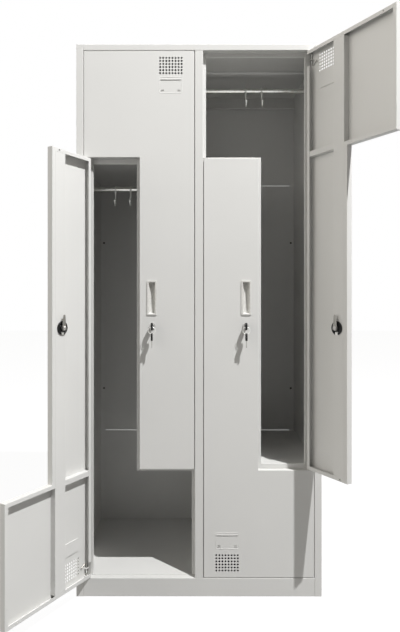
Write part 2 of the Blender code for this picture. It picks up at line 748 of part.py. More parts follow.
class Door:
    """An L-shaped door in its own places: u from the hinge edge, v inwards, w from the wide end."""

    def __init__(self, name, pivot_x, side, up, turn):
        self.name = name
        self.side = side
        self.up = up
        self.wide_z = OPENING_BOTTOM + DOOR_GAP if up > 0 else OPENING_TOP - DOOR_GAP
        self.step_z = UPPER_STEP if up > 0 else LOWER_STEP
        self.wide_height = (LOWER_WIDE if up > 0 else UPPER_WIDE) - 2 * DOOR_GAP
        self.height = abs(self.step_z - self.wide_z) - DOOR_GAP
        self.card_w = LOWER_CARD_W if up > 0 else UPPER_CARD_W
        self.empty = make_empty(f"{name}_door_axis", in_cabinet(pivot_x, PIVOT_V, 0), turn=turn)
        self.lock = make_empty(
            f"{name}_lock_axis", self.place(LOCK_U, 0, self.depth_of(LOCK_HEIGHT)), self.empty
        )

    def place(self, u, v, w):
        return self.side * (u - PIVOT_U), v - PIVOT_V, self.wide_z + self.up * w

    def place_on_lock(self, u, v, z):
        return self.side * u, v, z

    def depth_of(self, z):
        """The place w of a height above the floor."""
        return self.up * (z - self.wide_z)

    def outline(self, inset):
        """The L of the door, with every edge moved in by the inset."""
        return [
            (inset, inset),
            (DOOR_WIDTH - inset, inset),
            (DOOR_WIDTH - inset, self.wide_height - inset),
            (STRIP_WIDTH - inset, self.wide_height - inset),
            (STRIP_WIDTH - inset, self.height - inset),
            (inset, self.height - inset),
        ]


def build_door_skin(door, paint):
    """The pan: front, returns and lips all round, but no lip at the hinge edge."""
    outer = arc((BEND_RADIUS, BEND_RADIUS), BEND_RADIUS, -math.pi / 2, -math.pi, BEND_STEPS)
    inner_radius = BEND_RADIUS - SHEET
    inner = arc((BEND_RADIUS, BEND_RADIUS), inner_radius, -math.pi, -math.pi / 2, BEND_STEPS)
    section = [
        *outer,
        (0, DOOR_DEPTH),
        (DOOR_LIP, DOOR_DEPTH),
        (DOOR_LIP, DOOR_DEPTH - SHEET),
        (SHEET, DOOR_DEPTH - SHEET),
        *inner,
    ]
    loops = [[(u, v, w) for u, w in door.outline(inset)] for inset, v in section]
    skin = make_piece(
        f"{door.name}_door_skin", [(loops, False)], door.place, paint, parent=door.empty
    )
    combine(skin, "UNION", [pin_bracket()], door.place)
    combine(skin, "DIFFERENCE", skin_cuts(door), door.place)


def skin_cuts(door):
    through = (-CUT_OVERRUN, SHEET + CUT_OVERRUN)
    cuts = []
    for row in range(VENT_ROWS):
        for column in range(VENT_COLUMNS):
            u = VENT_CENTRE_U + (column - (VENT_COLUMNS - 1) / 2) * VENT_PITCH
            w = VENT_CENTRE_W + (row - (VENT_ROWS - 1) / 2) * VENT_PITCH
            cuts.append(cylinder(VENT_RADIUS, *through, "Y", (u, w), VENT_SIDES))
    card_u = (CARD_CENTRE_U - CARD_SLIT_LENGTH / 2, CARD_CENTRE_U + CARD_SLIT_LENGTH / 2)
    top_w = door.card_w + door.up * CARD_HEIGHT / 2
    foot_w = door.card_w - door.up * CARD_HEIGHT / 2
    half_slit = CARD_SLIT_HEIGHT / 2
    cuts.append(box(card_u, through, (top_w - half_slit, top_w + half_slit)))
    for lug in (-1, 1):
        middle = CARD_CENTRE_U + lug * CARD_LUG_SPREAD / 2
        lug_u = (middle - CARD_LUG_LENGTH / 2, middle + CARD_LUG_LENGTH / 2)
        cuts.append(box(lug_u, through, (foot_w - half_slit, foot_w + half_slit)))
    clearance = 2 * (CUP_WALL + SEAT_GAP)
    opening = rounded_rectangle(
        CUP_OPENING_WIDTH + clearance,
        CUP_OPENING_HEIGHT + clearance,
        CUP_CORNER + CUP_WALL + SEAT_GAP,
        CUP_CORNER_STEPS,
    )
    handle_w = door.depth_of(HANDLE_HEIGHT)
    cuts.append(prism([(u + HANDLE_U, w + handle_w) for u, w in opening], *through, "Y"))
    lock_centre = (LOCK_U, door.depth_of(LOCK_HEIGHT))
    cuts.append(cylinder(BARREL_HOLE_RADIUS, *through, "Y", lock_centre, LOCK_SIDES))
    bracket_end = BRACKET_OFFSET + BRACKET_LENGTH
    for low, high in (
        (-CUT_OVERRUN, bracket_end + CUT_OVERRUN),
        (door.height - CUT_OVERRUN, door.height + CUT_OVERRUN),
    ):
        cuts.append(cylinder(PIN_HOLE_RADIUS, low, high, "Z", (PIVOT_U, PIVOT_V), PIN_SIDES))
    lip_u = DOOR_WIDTH - DOOR_LIP / 2
    behind = (DOOR_DEPTH - SHEET - SEAT_GAP, DOOR_DEPTH + SEAT_GAP)
    for w in (DRAIN_END_OFFSET, door.wide_height - DRAIN_END_OFFSET):
        cuts.append(cylinder(DRAIN_RADIUS, *behind, "Y", (lip_u, w), DRAIN_SIDES))
    hinge_lip = ((SHEET, DOOR_LIP + SEAT_GAP), (DOOR_LIP, door.height - DOOR_LIP))
    cuts.append(box(hinge_lip[0], behind, hinge_lip[1]))
    return cuts


def build_stiffener(door, paint):
    """A channel down the strip that carries handle and lock, and a cross rail at the step."""
    lips = (DOOR_LIP + SEAT_GAP, door.height - DOOR_LIP - SEAT_GAP)
    upright = bent_outline([
        (STIFFENER_FAR_U, STIFFENER_V),
        (STIFFENER_FAR_U, DOOR_DEPTH),
        (STIFFENER_NEAR_U, DOOR_DEPTH),
        (STIFFENER_NEAR_U, STIFFENER_V),
    ])
    rail_w = (door.wide_height - CROSS_RAIL_WIDTH, door.wide_height)
    rail_v = (STIFFENER_V + SEAT_GAP, DOOR_DEPTH - SHEET)
    rail = bent_outline([
        (rail_v[0], rail_w[0]),
        (rail_v[1], rail_w[0]),
        (rail_v[1], rail_w[1]),
        (rail_v[0], rail_w[1]),
    ])
    rail_u = (CROSS_RAIL_START_U, STIFFENER_NEAR_U + SHEET / 2)
    stiffener = make_piece(
        f"{door.name}_door_stiffener",
        [prism(upright, *lips, "Z")],
        door.place,
        paint,
        parent=door.empty,
    )
    combine(stiffener, "UNION", [prism(rail, *rail_u, "X")], door.place)
    web = (DOOR_DEPTH - SHEET - SEAT_GAP, DOOR_DEPTH + SEAT_GAP)
    centre = (LOCK_U, door.depth_of(LOCK_HEIGHT))
    hole = cylinder(BARREL_HOLE_RADIUS, *web, "Y", centre, LOCK_SIDES)
    combine(stiffener, "DIFFERENCE", [hole], door.place)


def build_handle_cup(door, grey_plastic):
    """A pull recess with a rim that lies on the door's face."""
    wall = 2 * CUP_WALL
    edge = 2 * CUP_EDGE
    rim_front = -SEAT_GAP - CUP_RIM_THICKNESS
    opening, rim = (CUP_OPENING_WIDTH, CUP_OPENING_HEIGHT), (CUP_RIM_WIDTH, CUP_RIM_HEIGHT)
    section = [
        (opening[0] + wall, opening[1] + wall, CUP_CORNER + CUP_WALL, CUP_DEPTH),
        (opening[0] + wall, opening[1] + wall, CUP_CORNER + CUP_WALL, -SEAT_GAP),
        (*rim, CUP_CORNER, -SEAT_GAP),
        (*rim, CUP_CORNER, rim_front + CUP_EDGE),
        (rim[0] - edge, rim[1] - edge, CUP_CORNER, rim_front),
        (opening[0] + edge, opening[1] + edge, CUP_CORNER + CUP_EDGE, rim_front),
        (*opening, CUP_CORNER, rim_front + CUP_EDGE),
        (*opening, CUP_CORNER, CUP_DEPTH - CUP_WALL),
    ]
    w0 = door.depth_of(HANDLE_HEIGHT)
    loops = [
        [
            (HANDLE_U + u, v, w0 + w)
            for u, w in rounded_rectangle(width, height, corner, CUP_CORNER_STEPS)
        ]
        for width, height, corner, v in section
    ]
    make_piece(
        f"{door.name}_handle_cup", [(loops, False)], door.place, grey_plastic, parent=door.empty
    )


def build_lock_body(door, plastic):
    """Barrel with a face ring in front and a rimmed cover disc behind the stiffener."""
    bore = PLUG_RADIUS + SEAT_GAP
    face_front = -SEAT_GAP - LOCK_FACE_THICKNESS
    disc_front = DOOR_DEPTH + SEAT_GAP
    disc_back = disc_front + LOCK_DISC_THICKNESS
    section = [
        (bore, face_front),
        (LOCK_FACE_RADIUS - LOCK_FACE_EDGE, face_front),
        (LOCK_FACE_RADIUS, face_front + LOCK_FACE_EDGE),
        (LOCK_FACE_RADIUS, -SEAT_GAP),
        (BARREL_RADIUS, -SEAT_GAP),
        (BARREL_RADIUS, disc_front),
        (LOCK_DISC_RADIUS, disc_front),
        (LOCK_DISC_RADIUS, disc_back),
        (LOCK_DISC_RADIUS - LOCK_DISC_RIM, disc_back),
        (LOCK_DISC_RADIUS - LOCK_DISC_RIM, disc_back - LOCK_DISC_RIM),
        (LOCK_BOSS_RADIUS, disc_back - LOCK_DISC_RIM),
        (LOCK_BOSS_RADIUS, LOCK_BOSS_END),
        (bore, LOCK_BOSS_END),
    ]
    body = make_piece(
        f"{door.name}_lock_body",
        [turned(section, LOCK_SIDES, "Y", (0, 0), ring=True)],
        door.place_on_lock,
        plastic,
        parent=door.lock,
    )
    notch = box(
        (-LOCK_DISC_NOTCH_WIDTH / 2, LOCK_DISC_NOTCH_WIDTH / 2),
        (DOOR_DEPTH, disc_back + SEAT_GAP),
        (-LOCK_DISC_RADIUS - SEAT_GAP, LOCK_DISC_NOTCH_DEPTH - LOCK_DISC_RADIUS),
    )
    combine(body, "DIFFERENCE", [notch], door.place_on_lock)


def build_lock_cam(door, steel):
    """The turning plug with its key slot, the cam on its stud and the nut that holds the cam."""
    root = arc((0, 0), CAM_ROOT_RADIUS, -math.pi, 0, CAM_STEPS)
    tip = arc((0, CAM_REACH - CAM_TIP_RADIUS), CAM_TIP_RADIUS, 0, math.pi, CAM_STEPS)
    cam_end = CAM_START + CAM_THICKNESS
    nut_start = cam_end + SEAT_GAP
    nut_end = nut_start + NUT_THICKNESS
    plug_front = -SEAT_GAP - LOCK_FACE_THICKNESS - PLUG_PROUD
    plug = turned([
        (PLUG_RADIUS, plug_front),
        (PLUG_RADIUS, CAM_START - SEAT_GAP),
        (PLUG_STUD_RADIUS, CAM_START - SEAT_GAP),
        (PLUG_STUD_RADIUS, nut_end + STUD_PROUD),
    ], LOCK_SIDES, "Y", (0, 0))
    cam = make_piece(
        f"{door.name}_lock_cam", [plug], door.place_on_lock, steel, parent=door.lock
    )
    combine(cam, "UNION", [
        prism(root + tip, CAM_START, cam_end, "Y"),
        cylinder(NUT_RADIUS, nut_start, nut_end, "Y", (0, 0), NUT_SIDES),
    ], door.place_on_lock)
    half_slot = KEY_BLADE_THICKNESS / 2 + SEAT_GAP
    half_width = KEY_BLADE_WIDTH / 2 + SEAT_GAP
    blade_end = plug_front - KEY_STANDOFF + KEY_BLADE_LENGTH
    slot = box(
        (-half_slot, half_slot),
        (plug_front - SEAT_GAP, blade_end + SEAT_GAP),
        (-half_width, half_width),
    )
    combine(cam, "DIFFERENCE", [slot], door.place_on_lock)


def key_bow():
    """Rounded bow in the plane of the key, with the ring hole near its far end."""
    outline = rounded_rectangle(
        KEY_BOW_LENGTH, KEY_BOW_WIDTH, KEY_BOW_CORNER, KEY_CORNER_STEPS
    )
    return prism(outline, -KEY_BOW_THICKNESS / 2, KEY_BOW_THICKNESS / 2, "X")


def key_blade(root):
    """Blade along the first place, from inside the bow to a point."""
    half = KEY_BLADE_WIDTH / 2
    end = root + KEY_BLADE_LENGTH
    outline = [
        (root - KEY_BLADE_ROOT, -half),
        (end - KEY_BLADE_POINT, -half),
        (end, 0),
        (end - KEY_BLADE_POINT, half),
        (root - KEY_BLADE_ROOT, half),
    ]
    return prism(outline, -KEY_BLADE_THICKNESS / 2, KEY_BLADE_THICKNESS / 2, "X")


def key_ring_hole(offset):
    half = KEY_BOW_THICKNESS / 2 + SEAT_GAP
    return cylinder(KEY_HOLE_RADIUS, -half, half, "X", (offset, 0), LOCK_SIDES)


def build_keys(door, plastic):
    """The key in the plug, and the spare key on a ring through the first key's bow."""
    plug_front = -SEAT_GAP - LOCK_FACE_THICKNESS - PLUG_PROUD
    bow_v = plug_front - KEY_STANDOFF - KEY_BOW_LENGTH / 2
    hole = KEY_HOLE_INSET - KEY_BOW_LENGTH / 2
    ring_v = bow_v + hole
    ring_flat = KEY_RING_RADIUS * math.cos(math.pi / KEY_RING_STEPS)
    ring_rest = KEY_HOLE_RADIUS - KEY_RING_WIRE - KEY_RING_PLAY
    grip = KEY_HOLE_RADIUS - KEY_RING_WIRE + KEY_RING_WIRE / 4
    drop = ring_rest + 2 * ring_flat + grip - hole

    def place_key(x, along, across):
        return door.place_on_lock(x, bow_v + along, across)

    def place_spare(x, along, across):
        return door.place_on_lock(x, ring_v + across, -drop - along)

    key = make_piece(f"{door.name}_key", [key_bow()], place_key, plastic, parent=door.lock)
    combine(key, "UNION", [key_blade(KEY_BOW_LENGTH / 2)], place_key)
    combine(key, "DIFFERENCE", [key_ring_hole(hole)], place_key)
    spare = make_piece(
        f"{door.name}_spare_key", [key_bow()], place_spare, plastic, parent=door.lock
    )
    combine(spare, "UNION", [key_blade(KEY_BOW_LENGTH / 2)], place_spare)
    combine(spare, "DIFFERENCE", [key_ring_hole(hole)], place_spare)
    loops = []
    for k in range(KEY_RING_STEPS):
        turn = 2 * math.pi * (k + 0.5) / KEY_RING_STEPS
        loops.append([
            (
                (KEY_RING_RADIUS + KEY_RING_WIRE * math.cos(t)) * math.cos(turn),
                ring_v + KEY_RING_WIRE * math.sin(t),
                (KEY_RING_RADIUS + KEY_RING_WIRE * math.cos(t)) * math.sin(turn)
                - ring_flat - ring_rest,
            )
            for t in (2 * math.pi * j / KEY_RING_SIDES for j in range(KEY_RING_SIDES))
        ])
    combine(spare, "UNION", [(loops, True)], door.place_on_lock)


def build_hinge_pin(door, steel):
    """The spring pin: tip through the door's end, a collar for the spring and a finger lever."""
    collar_start = BRACKET_OFFSET + BRACKET_SHEET + SEAT_GAP
    collar_end = collar_start + PIN_COLLAR_LENGTH
    stations = [
        (-PIN_PROJECTION, PIN_RADIUS - PIN_COLLAR_STEP),
        (-PIN_PROJECTION + PIN_COLLAR_STEP, PIN_RADIUS),
        (collar_start, PIN_RADIUS),
        (collar_start + PIN_COLLAR_STEP, PIN_COLLAR_RADIUS),
        (collar_end - PIN_COLLAR_STEP, PIN_COLLAR_RADIUS),
        (collar_end, PIN_RADIUS),
    ]
    path = [(PIVOT_U, w) for w, _ in stations]
    radii = [radius for _, radius in stations]
    bend_centre = (PIVOT_U + PIN_LEVER_BEND, PIN_LENGTH - PIN_LEVER_BEND)
    lever = arc(
        bend_centre, PIN_LEVER_BEND, math.pi, math.atan2(PIN_LEVER_REACH, PIN_LEVER_DROP),
        PIN_LEVER_STEPS,
    )
    end = (PIVOT_U + PIN_LEVER_REACH, PIN_LENGTH - PIN_LEVER_DROP)
    path += lever + [end]
    radii += [PIN_RADIUS] * (len(lever) + 1)

    def flat(u, w, offset):
        return u, PIVOT_V + offset, w

    make_piece(
        f"{door.name}_hinge_pin",
        [swept(path, radii, flat, PIN_SIDES)],
        door.place,
        steel,
        parent=door.empty,
    )


def pin_bracket():
    """A U of sheet welded into the door, whose two ears guide the spring pin."""
    near, far = BRACKET_OFFSET, BRACKET_OFFSET + BRACKET_LENGTH
    front, back = SHEET / 2, SHEET / 2 + BRACKET_EAR
    path = [(back, far), (front, far), (front, near), (back, near)]
    outline = bent_outline(path, BRACKET_SHEET, BEND_RADIUS)
    return prism(outline, BRACKET_START_U, BRACKET_START_U + BRACKET_WIDTH, "X")


def build_door(door, paint, steel, grey_plastic, black_plastic):
    build_door_skin(door, paint)
    build_stiffener(door, paint)
    build_handle_cup(door, grey_plastic)
    build_lock_body(door, black_plastic)
    build_lock_cam(door, steel)
    build_keys(door, black_plastic)
    build_hinge_pin(door, steel)


def main():
    clear_scene()
    body_paint = make_material("body_paint", (0.72, 0.71, 0.68), 0.45, 0.0)
    door_paint = make_material("door_paint", (0.74, 0.74, 0.71), 0.4, 0.0)
    steel = make_material("zinc_steel", (0.58, 0.57, 0.55), 0.3, 1.0)
    grey_plastic = make_material("grey_plastic", (0.7, 0.7, 0.67), 0.4, 0.0)
    black_plastic = make_material("black_plastic", (0.02, 0.02, 0.02), 0.5, 0.0)

    build_side_panels(body_paint)
    build_centre_divider(body_paint)
    build_top_panel(body_paint)
    build_plinth(body_paint)
    build_bottom_panel(body_paint)
    build_back(body_paint)

    columns = {
        "left": (-COLUMN_X, -SIDE_WALL_X, -INNER_WALL_X),
        "right": (COLUMN_X, INNER_WALL_X, SIDE_WALL_X),
    }
    for name, (column_x, left_x, right_x) in columns.items():
        build_partition(name, column_x, body_paint)
        build_shelves(name, column_x, left_x, right_x, body_paint)
        build_hooks(name, column_x, left_x, steel)
    build_rods(columns, steel)

    door_places = {
        "upper_left": (-DIVIDER_PIVOT_X, -1, -1, 0),
        "lower_left": (-SIDE_PIVOT_X, 1, 1, -OPEN_ANGLE),
        "upper_right": (SIDE_PIVOT_X, -1, -1, OPEN_ANGLE),
        "lower_right": (DIVIDER_PIVOT_X, 1, 1, 0),
    }
    for name, (pivot_x, side, up, turn) in door_places.items():
        door = Door(name, pivot_x, side, up, turn)
        build_door(door, door_paint, steel, grey_plastic, black_plastic)


main()
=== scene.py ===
"""Looks of the z locker: finer pieces and painted, plated and moulded finishes on the frame."""

import json
import math

import bmesh
import bpy
from bpy.props import FloatProperty, FloatVectorProperty, IntProperty, PointerProperty
from mathutils import Matrix, Vector


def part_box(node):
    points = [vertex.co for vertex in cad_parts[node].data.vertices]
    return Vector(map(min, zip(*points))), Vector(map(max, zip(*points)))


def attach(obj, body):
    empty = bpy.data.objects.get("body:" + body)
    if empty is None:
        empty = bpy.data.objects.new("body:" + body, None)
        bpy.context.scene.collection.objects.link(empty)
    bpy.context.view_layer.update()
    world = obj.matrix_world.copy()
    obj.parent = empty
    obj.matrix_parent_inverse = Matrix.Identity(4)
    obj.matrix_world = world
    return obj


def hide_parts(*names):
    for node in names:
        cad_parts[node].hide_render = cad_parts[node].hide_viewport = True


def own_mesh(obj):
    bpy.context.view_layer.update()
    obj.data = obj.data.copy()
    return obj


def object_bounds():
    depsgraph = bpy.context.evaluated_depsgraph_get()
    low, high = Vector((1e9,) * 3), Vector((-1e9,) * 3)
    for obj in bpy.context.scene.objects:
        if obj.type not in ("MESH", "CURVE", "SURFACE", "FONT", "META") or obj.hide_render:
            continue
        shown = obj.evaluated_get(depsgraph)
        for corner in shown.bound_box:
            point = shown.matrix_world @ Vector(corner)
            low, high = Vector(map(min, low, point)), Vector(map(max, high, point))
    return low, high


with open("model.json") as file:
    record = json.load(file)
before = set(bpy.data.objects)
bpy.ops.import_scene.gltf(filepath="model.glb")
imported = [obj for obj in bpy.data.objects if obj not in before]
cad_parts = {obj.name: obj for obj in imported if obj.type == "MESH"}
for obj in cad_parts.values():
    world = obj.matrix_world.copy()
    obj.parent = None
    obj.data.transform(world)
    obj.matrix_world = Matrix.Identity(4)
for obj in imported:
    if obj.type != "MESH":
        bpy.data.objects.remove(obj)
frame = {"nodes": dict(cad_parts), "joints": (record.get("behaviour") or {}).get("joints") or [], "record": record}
cad_low, cad_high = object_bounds()

bl_info = {
    "name": "Z locker",
    "version": (1, 0, 0),
    "blender": (4, 5, 0),
    "location": "3D View > Sidebar > Z locker",
    "description": "Finishes a steel locker with interlocking L-shaped doors",
    "category": "Object",
}

# Sizes of the frame that its boxes don't give
CABINET_HALF_WIDTH = 0.400
SHEET = 0.001
SEAT_GAP = 0.0003
DOOR_WIDTH = 0.360
STRIP_WIDTH = 0.17825
DOOR_DEPTH = 0.020
DOOR_LIP = 0.012
WIDE_HEIGHTS = {-1: 0.347, 1: 0.350}
PIVOT_U = 0.0065
PIVOT_V = 0.0045
ROD_RADIUS = 0.008
HANDLE_OPENING = (0.022, 0.103)
HANDLE_WALL = 0.0008
BARREL_RADIUS = 0.0085
PLUG_RADIUS = 0.0057
LOCK_FACE = -SEAT_GAP - 0.0027
PLUG_FRONT = LOCK_FACE - 0.0002

# How far the card's lugs stand from its middle, and a key's hole and end from its bow's middle
LUG_SHIFT = 0.027
KEY_HOLE = -0.007
BOW_HALF = 0.012

# How far the door's bends keep clear of its box, and how far cutters run past what they cut
BEND_EASE = 0.00006
OVERRUN = 0.005

SMOOTH_ANGLE = math.radians(35)
DOOR_SMOOTH_ANGLE = math.radians(30)

JOINTS = {joint["name"]: joint for joint in frame["joints"]}
PLACES = [(column, level) for column in ("left", "right") for level in ("upper", "lower")]
HOOKS = [f"{column}_{level}_hook_{number}" for column, level in PLACES for number in (1, 2)]
RODS = [f"{column}_{level}_rod" for column, level in PLACES]


# Mesh helpers


def arc(centre, radius, start, end, steps):
    angles = [start + (end - start) * k / steps for k in range(steps + 1)]
    return [(centre[0] + radius * math.cos(t), centre[1] + radius * math.sin(t)) for t in angles]


def circle(centre, radius, sides):
    turns = [2 * math.pi * k / sides for k in range(sides)]
    return [(centre[0] + radius * math.cos(t), centre[1] + radius * math.sin(t)) for t in turns]


def rounded_rectangle(width, height, corner, steps, shift=(0, 0)):
    """Outline round the shift, with the same number of points for every size."""
    points = []
    for quarter, (side_a, side_b) in enumerate(((1, 1), (-1, 1), (-1, -1), (1, -1))):
        centre = (side_a * (width / 2 - corner), side_b * (height / 2 - corner))
        start = quarter * math.pi / 2
        points += arc(centre, corner, start, start + math.pi / 2, steps)
    return [(a + shift[0], b + shift[1]) for a, b in points]


def lathe(profile, sides, closed=False, centre=(0, 0)):
    """Loops turned round the door's inward axis from (radius, depth) pairs."""
    turns = [2 * math.pi * (k + 0.5) / sides for k in range(sides)]
    loops = [
        [(centre[0] + r * math.cos(t), depth, centre[1] + r * math.sin(t)) for t in turns]
        for r, depth in profile
    ]
    return loops, closed


def bore(radius, span, sides, centre):
    """A round cutter along the door's inward axis."""
    return lathe([(radius, span[0]), (radius, span[1])], sides, centre=centre)


def plate(outline, low, high, axis="Y"):
    """A flat solid with this outline, from low to high along the axis."""
    turned = {
        "X": lambda a, b, h: (h, a, b),
        "Y": lambda a, b, h: (a, h, b),
        "Z": lambda a, b, h: (a, b, h),
    }[axis]
    return [[turned(a, b, h) for a, b in outline] for h in (low, high)], False


def block(a, b, low, high, axis="Y"):
    return plate([(a[0], b[0]), (a[1], b[0]), (a[1], b[1]), (a[0], b[1])], low, high, axis)


def tube(points, radii, sides, closed=False):
    """A round bar along points in space, turned as little as possible from one to the next."""
    points = [Vector(point) for point in points]
    count = len(points)
    loops, side = [], None
    for i, point in enumerate(points):
        before = points[i - 1] if i or closed else point
        after = points[(i + 1) % count] if i < count - 1 or closed else point
        run = (after - before).normalized()
        if side is None:
            side = run.orthogonal().normalized()
        side = (side - run * side.dot(run)).normalized()
        other = run.cross(side)
        loops.append([
            point + radii[i] * (side * math.cos(t) + other * math.sin(t))
            for t in (2 * math.pi * k / sides for k in range(sides))
        ])
    return loops, closed


def bent_section(path, sheet, radius, steps):
    """Closed outline of a bent sheet whose outer face is the path, with the sheet on its left."""
    near, far, runs = [], [], []
    for (a0, b0), (a1, b1) in zip(path, path[1:]):
        length = math.hypot(a1 - a0, b1 - b0)
        runs.append(((a1 - a0) / length, (b1 - b0) / length))
    for i, (a, b) in enumerate(path):
        if i in (0, len(path) - 1):
            run = runs[0] if i == 0 else runs[-1]
            near.append((a, b))
            far.append((a - run[1] * sheet, b + run[0] * sheet))
            continue
        before, after = runs[i - 1], runs[i]
        left = 1 if before[0] * after[1] - before[1] * after[0] > 0 else -1
        bend = radius if left > 0 else radius - sheet
        turn = math.acos(before[0] * after[0] + before[1] * after[1])
        back = bend * math.tan(turn / 2)
        centre = (
            a - before[0] * back - before[1] * left * bend,
            b - before[1] * back + before[0] * left * bend,
        )
        start = math.atan2(-left * before[0], left * before[1])
        end = start + left * turn
        near += arc(centre, bend, start, end, steps)
        far += arc(centre, bend - left * sheet, start, end, steps)
    return near + far[::-1]


def mesh_of(name, solids, place=None):
    """One mesh from loops, each list capped at both ends unless it closes on itself."""
    bm = bmesh.new()
    for loops, closed in solids:
        rows = [
            [bm.verts.new(place(*point) if place else point) for point in loop] for loop in loops
        ]
        for near, far in zip(rows, rows[1:] + rows[:1] if closed else rows[1:]):
            for i in range(len(near)):
                j = (i + 1) % len(near)
                bm.faces.new((near[i], near[j], far[j], far[i]))
        if not closed:
            bm.faces.new(rows[0])
            bm.faces.new(rows[-1])
    bmesh.ops.recalc_face_normals(bm, faces=bm.faces)
    mesh = bpy.data.meshes.new(name)
    bm.to_mesh(mesh)
    bm.free()
    return mesh


def make_object(name, solids, place=None):
    obj = bpy.data.objects.new(name, mesh_of(name, solids, place))
    bpy.context.scene.collection.objects.link(obj)
    return obj


def apply_modifiers(obj):
    """Swaps the mesh for the one that its modifiers give."""
    graph = bpy.context.evaluated_depsgraph_get()
    mesh = bpy.data.meshes.new_from_object(obj.evaluated_get(graph))
    old = obj.data
    obj.modifiers.clear()
    obj.data = mesh
    mesh.name = obj.name
    bpy.data.meshes.remove(old)


def combine(obj, operation, solids, place=None):
    """Cuts the solids from the object or joins them to it."""
    helper = make_object(f"{obj.name}_helper", solids, place)
    modifier = obj.modifiers.new(operation, "BOOLEAN")
    modifier.operation = operation
    modifier.object = helper
    modifier.solver = "EXACT"
    apply_modifiers(obj)
    mesh = helper.data
    bpy.data.objects.remove(helper)
    bpy.data.meshes.remove(mesh)


def round_edges(obj, width, segments=2):
    modifier = obj.modifiers.new("edges", "BEVEL")
    modifier.width = width
    modifier.segments = segments
    modifier.limit_method = "ANGLE"
    modifier.angle_limit = SMOOTH_ANGLE
    modifier.use_clamp_overlap = True
    apply_modifiers(obj)


def finish_piece(obj, finish, body, matrix=None, stands_for=(), smooth=SMOOTH_ANGLE):
    """Gives the piece its finish, place and smooth shading, and hands it to its body."""
    material = finish_named(finish)
    obj.data.materials.clear()
    obj.data.materials.append(material)
    if matrix is not None:
        obj.data.transform(matrix)
    obj.data.shade_smooth()
    obj.data.set_sharp_from_angle(angle=smooth)
    flats = obj.modifiers.new("flats", "WEIGHTED_NORMAL")
    flats.keep_sharp = True
    apply_modifiers(obj)
    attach(obj, body)
    if stands_for:
        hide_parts(*stands_for)


# Finishes


def add_node(owner, kind, inputs=None, **settings):
    """A node of a material or world; an input takes a value or another node's output."""
    tree = owner.node_tree
    node = tree.nodes.new(kind)
    for name, value in settings.items():
        setattr(node, name, value)
    for name, value in (inputs or {}).items():
        if isinstance(value, bpy.types.NodeSocket):
            tree.links.new(value, node.inputs[name])
        else:
            node.inputs[name].default_value = value
    return node


def calculate(owner, operation, first, second):
    return add_node(owner, "ShaderNodeMath", {0: first, 1: second}, operation=operation).outputs[0]


def blend_colours(owner, share, first, second):
    """From the first colour to the second as the share goes from 0 to 1."""
    first, second = (
        (*colour, 1) if isinstance(colour, tuple) else colour for colour in (first, second)
    )
    inputs = {0: share, 6: first, 7: second}
    return add_node(owner, "ShaderNodeMix", inputs, data_type="RGBA").outputs[2]


def spread(owner, value, low, high, start=0.0, end=1.0):
    """Moves a value between start and end to one between low and high."""
    inputs = {"Value": value, "From Min": start, "From Max": end, "To Min": low, "To Max": high}
    return add_node(owner, "ShaderNodeMapRange", inputs).outputs["Result"]


def noise(material, place, size, detail=2.0, roughness=0.5, stretch=None):
    """Noise with features of this size in metres, stretched along an axis if asked."""
    if stretch:
        inputs = {0: place, 1: stretch}
        stretched = add_node(material, "ShaderNodeVectorMath", inputs, operation="MULTIPLY")
        place = stretched.outputs[0]
    inputs = {"Vector": place, "Scale": 1 / size, "Detail": detail, "Roughness": roughness}
    return add_node(material, "ShaderNodeTexNoise", inputs).outputs["Fac"]


def scaled(colour, factor):
    return tuple(min(channel * factor, 1.0) for channel in colour)


def new_finish(name, slot, metallic=0.0, specular=0.5):
    """A material with its shader and the place on the piece that its textures read."""
    material = bpy.data.materials.new(name)
    material.use_nodes = True
    material["slot"] = slot
    shader = material.node_tree.nodes["Principled BSDF"]
    shader.inputs["Metallic"].default_value = metallic
    shader.inputs["Specular IOR Level"].default_value = specular
    place = add_node(material, "ShaderNodeTexCoord").outputs["Object"]
    return material, shader, place


def connect(material, shader, colour, roughness, height, distance, strength):
    """Joins the shader to its colour, its gloss and the height of its grain."""
    inputs = {"Height": height, "Distance": distance, "Strength": strength}
    bump = add_node(material, "ShaderNodeBump", inputs).outputs["Normal"]
    for name, output in (("Base Color", colour), ("Roughness", roughness), ("Normal", bump)):
        material.node_tree.links.new(output, shader.inputs[name])
    return material


def edge_highlight_share(material, width):
    """Mask of the painted highlight: 0 on flat sheet, up to 1 where it bends or ends."""
    bevel = add_node(material, "ShaderNodeBevel", {"Radius": width}, samples=4)
    normal = add_node(material, "ShaderNodeNewGeometry").outputs["Normal"]
    inputs = {0: bevel.outputs["Normal"], 1: normal}
    dot = add_node(material, "ShaderNodeVectorMath", inputs, operation="DOT_PRODUCT")
    return spread(material, dot.outputs["Value"], 1.0, 0.0, start=0.8, end=1.0)


def sharpen(material, pattern, contrast=0.15):
    """Spreads the middle of a pattern out from 0 to 1."""
    return spread(material, pattern, 0.0, 1.0, start=0.5 - contrast, end=0.5 + contrast)


def worn_gloss(material, grain, roughness, less, more):
    """Roughness that follows the grain, from a little less to a little more."""
    return spread(material, grain, roughness - less, roughness + more, start=0.3, end=0.7)


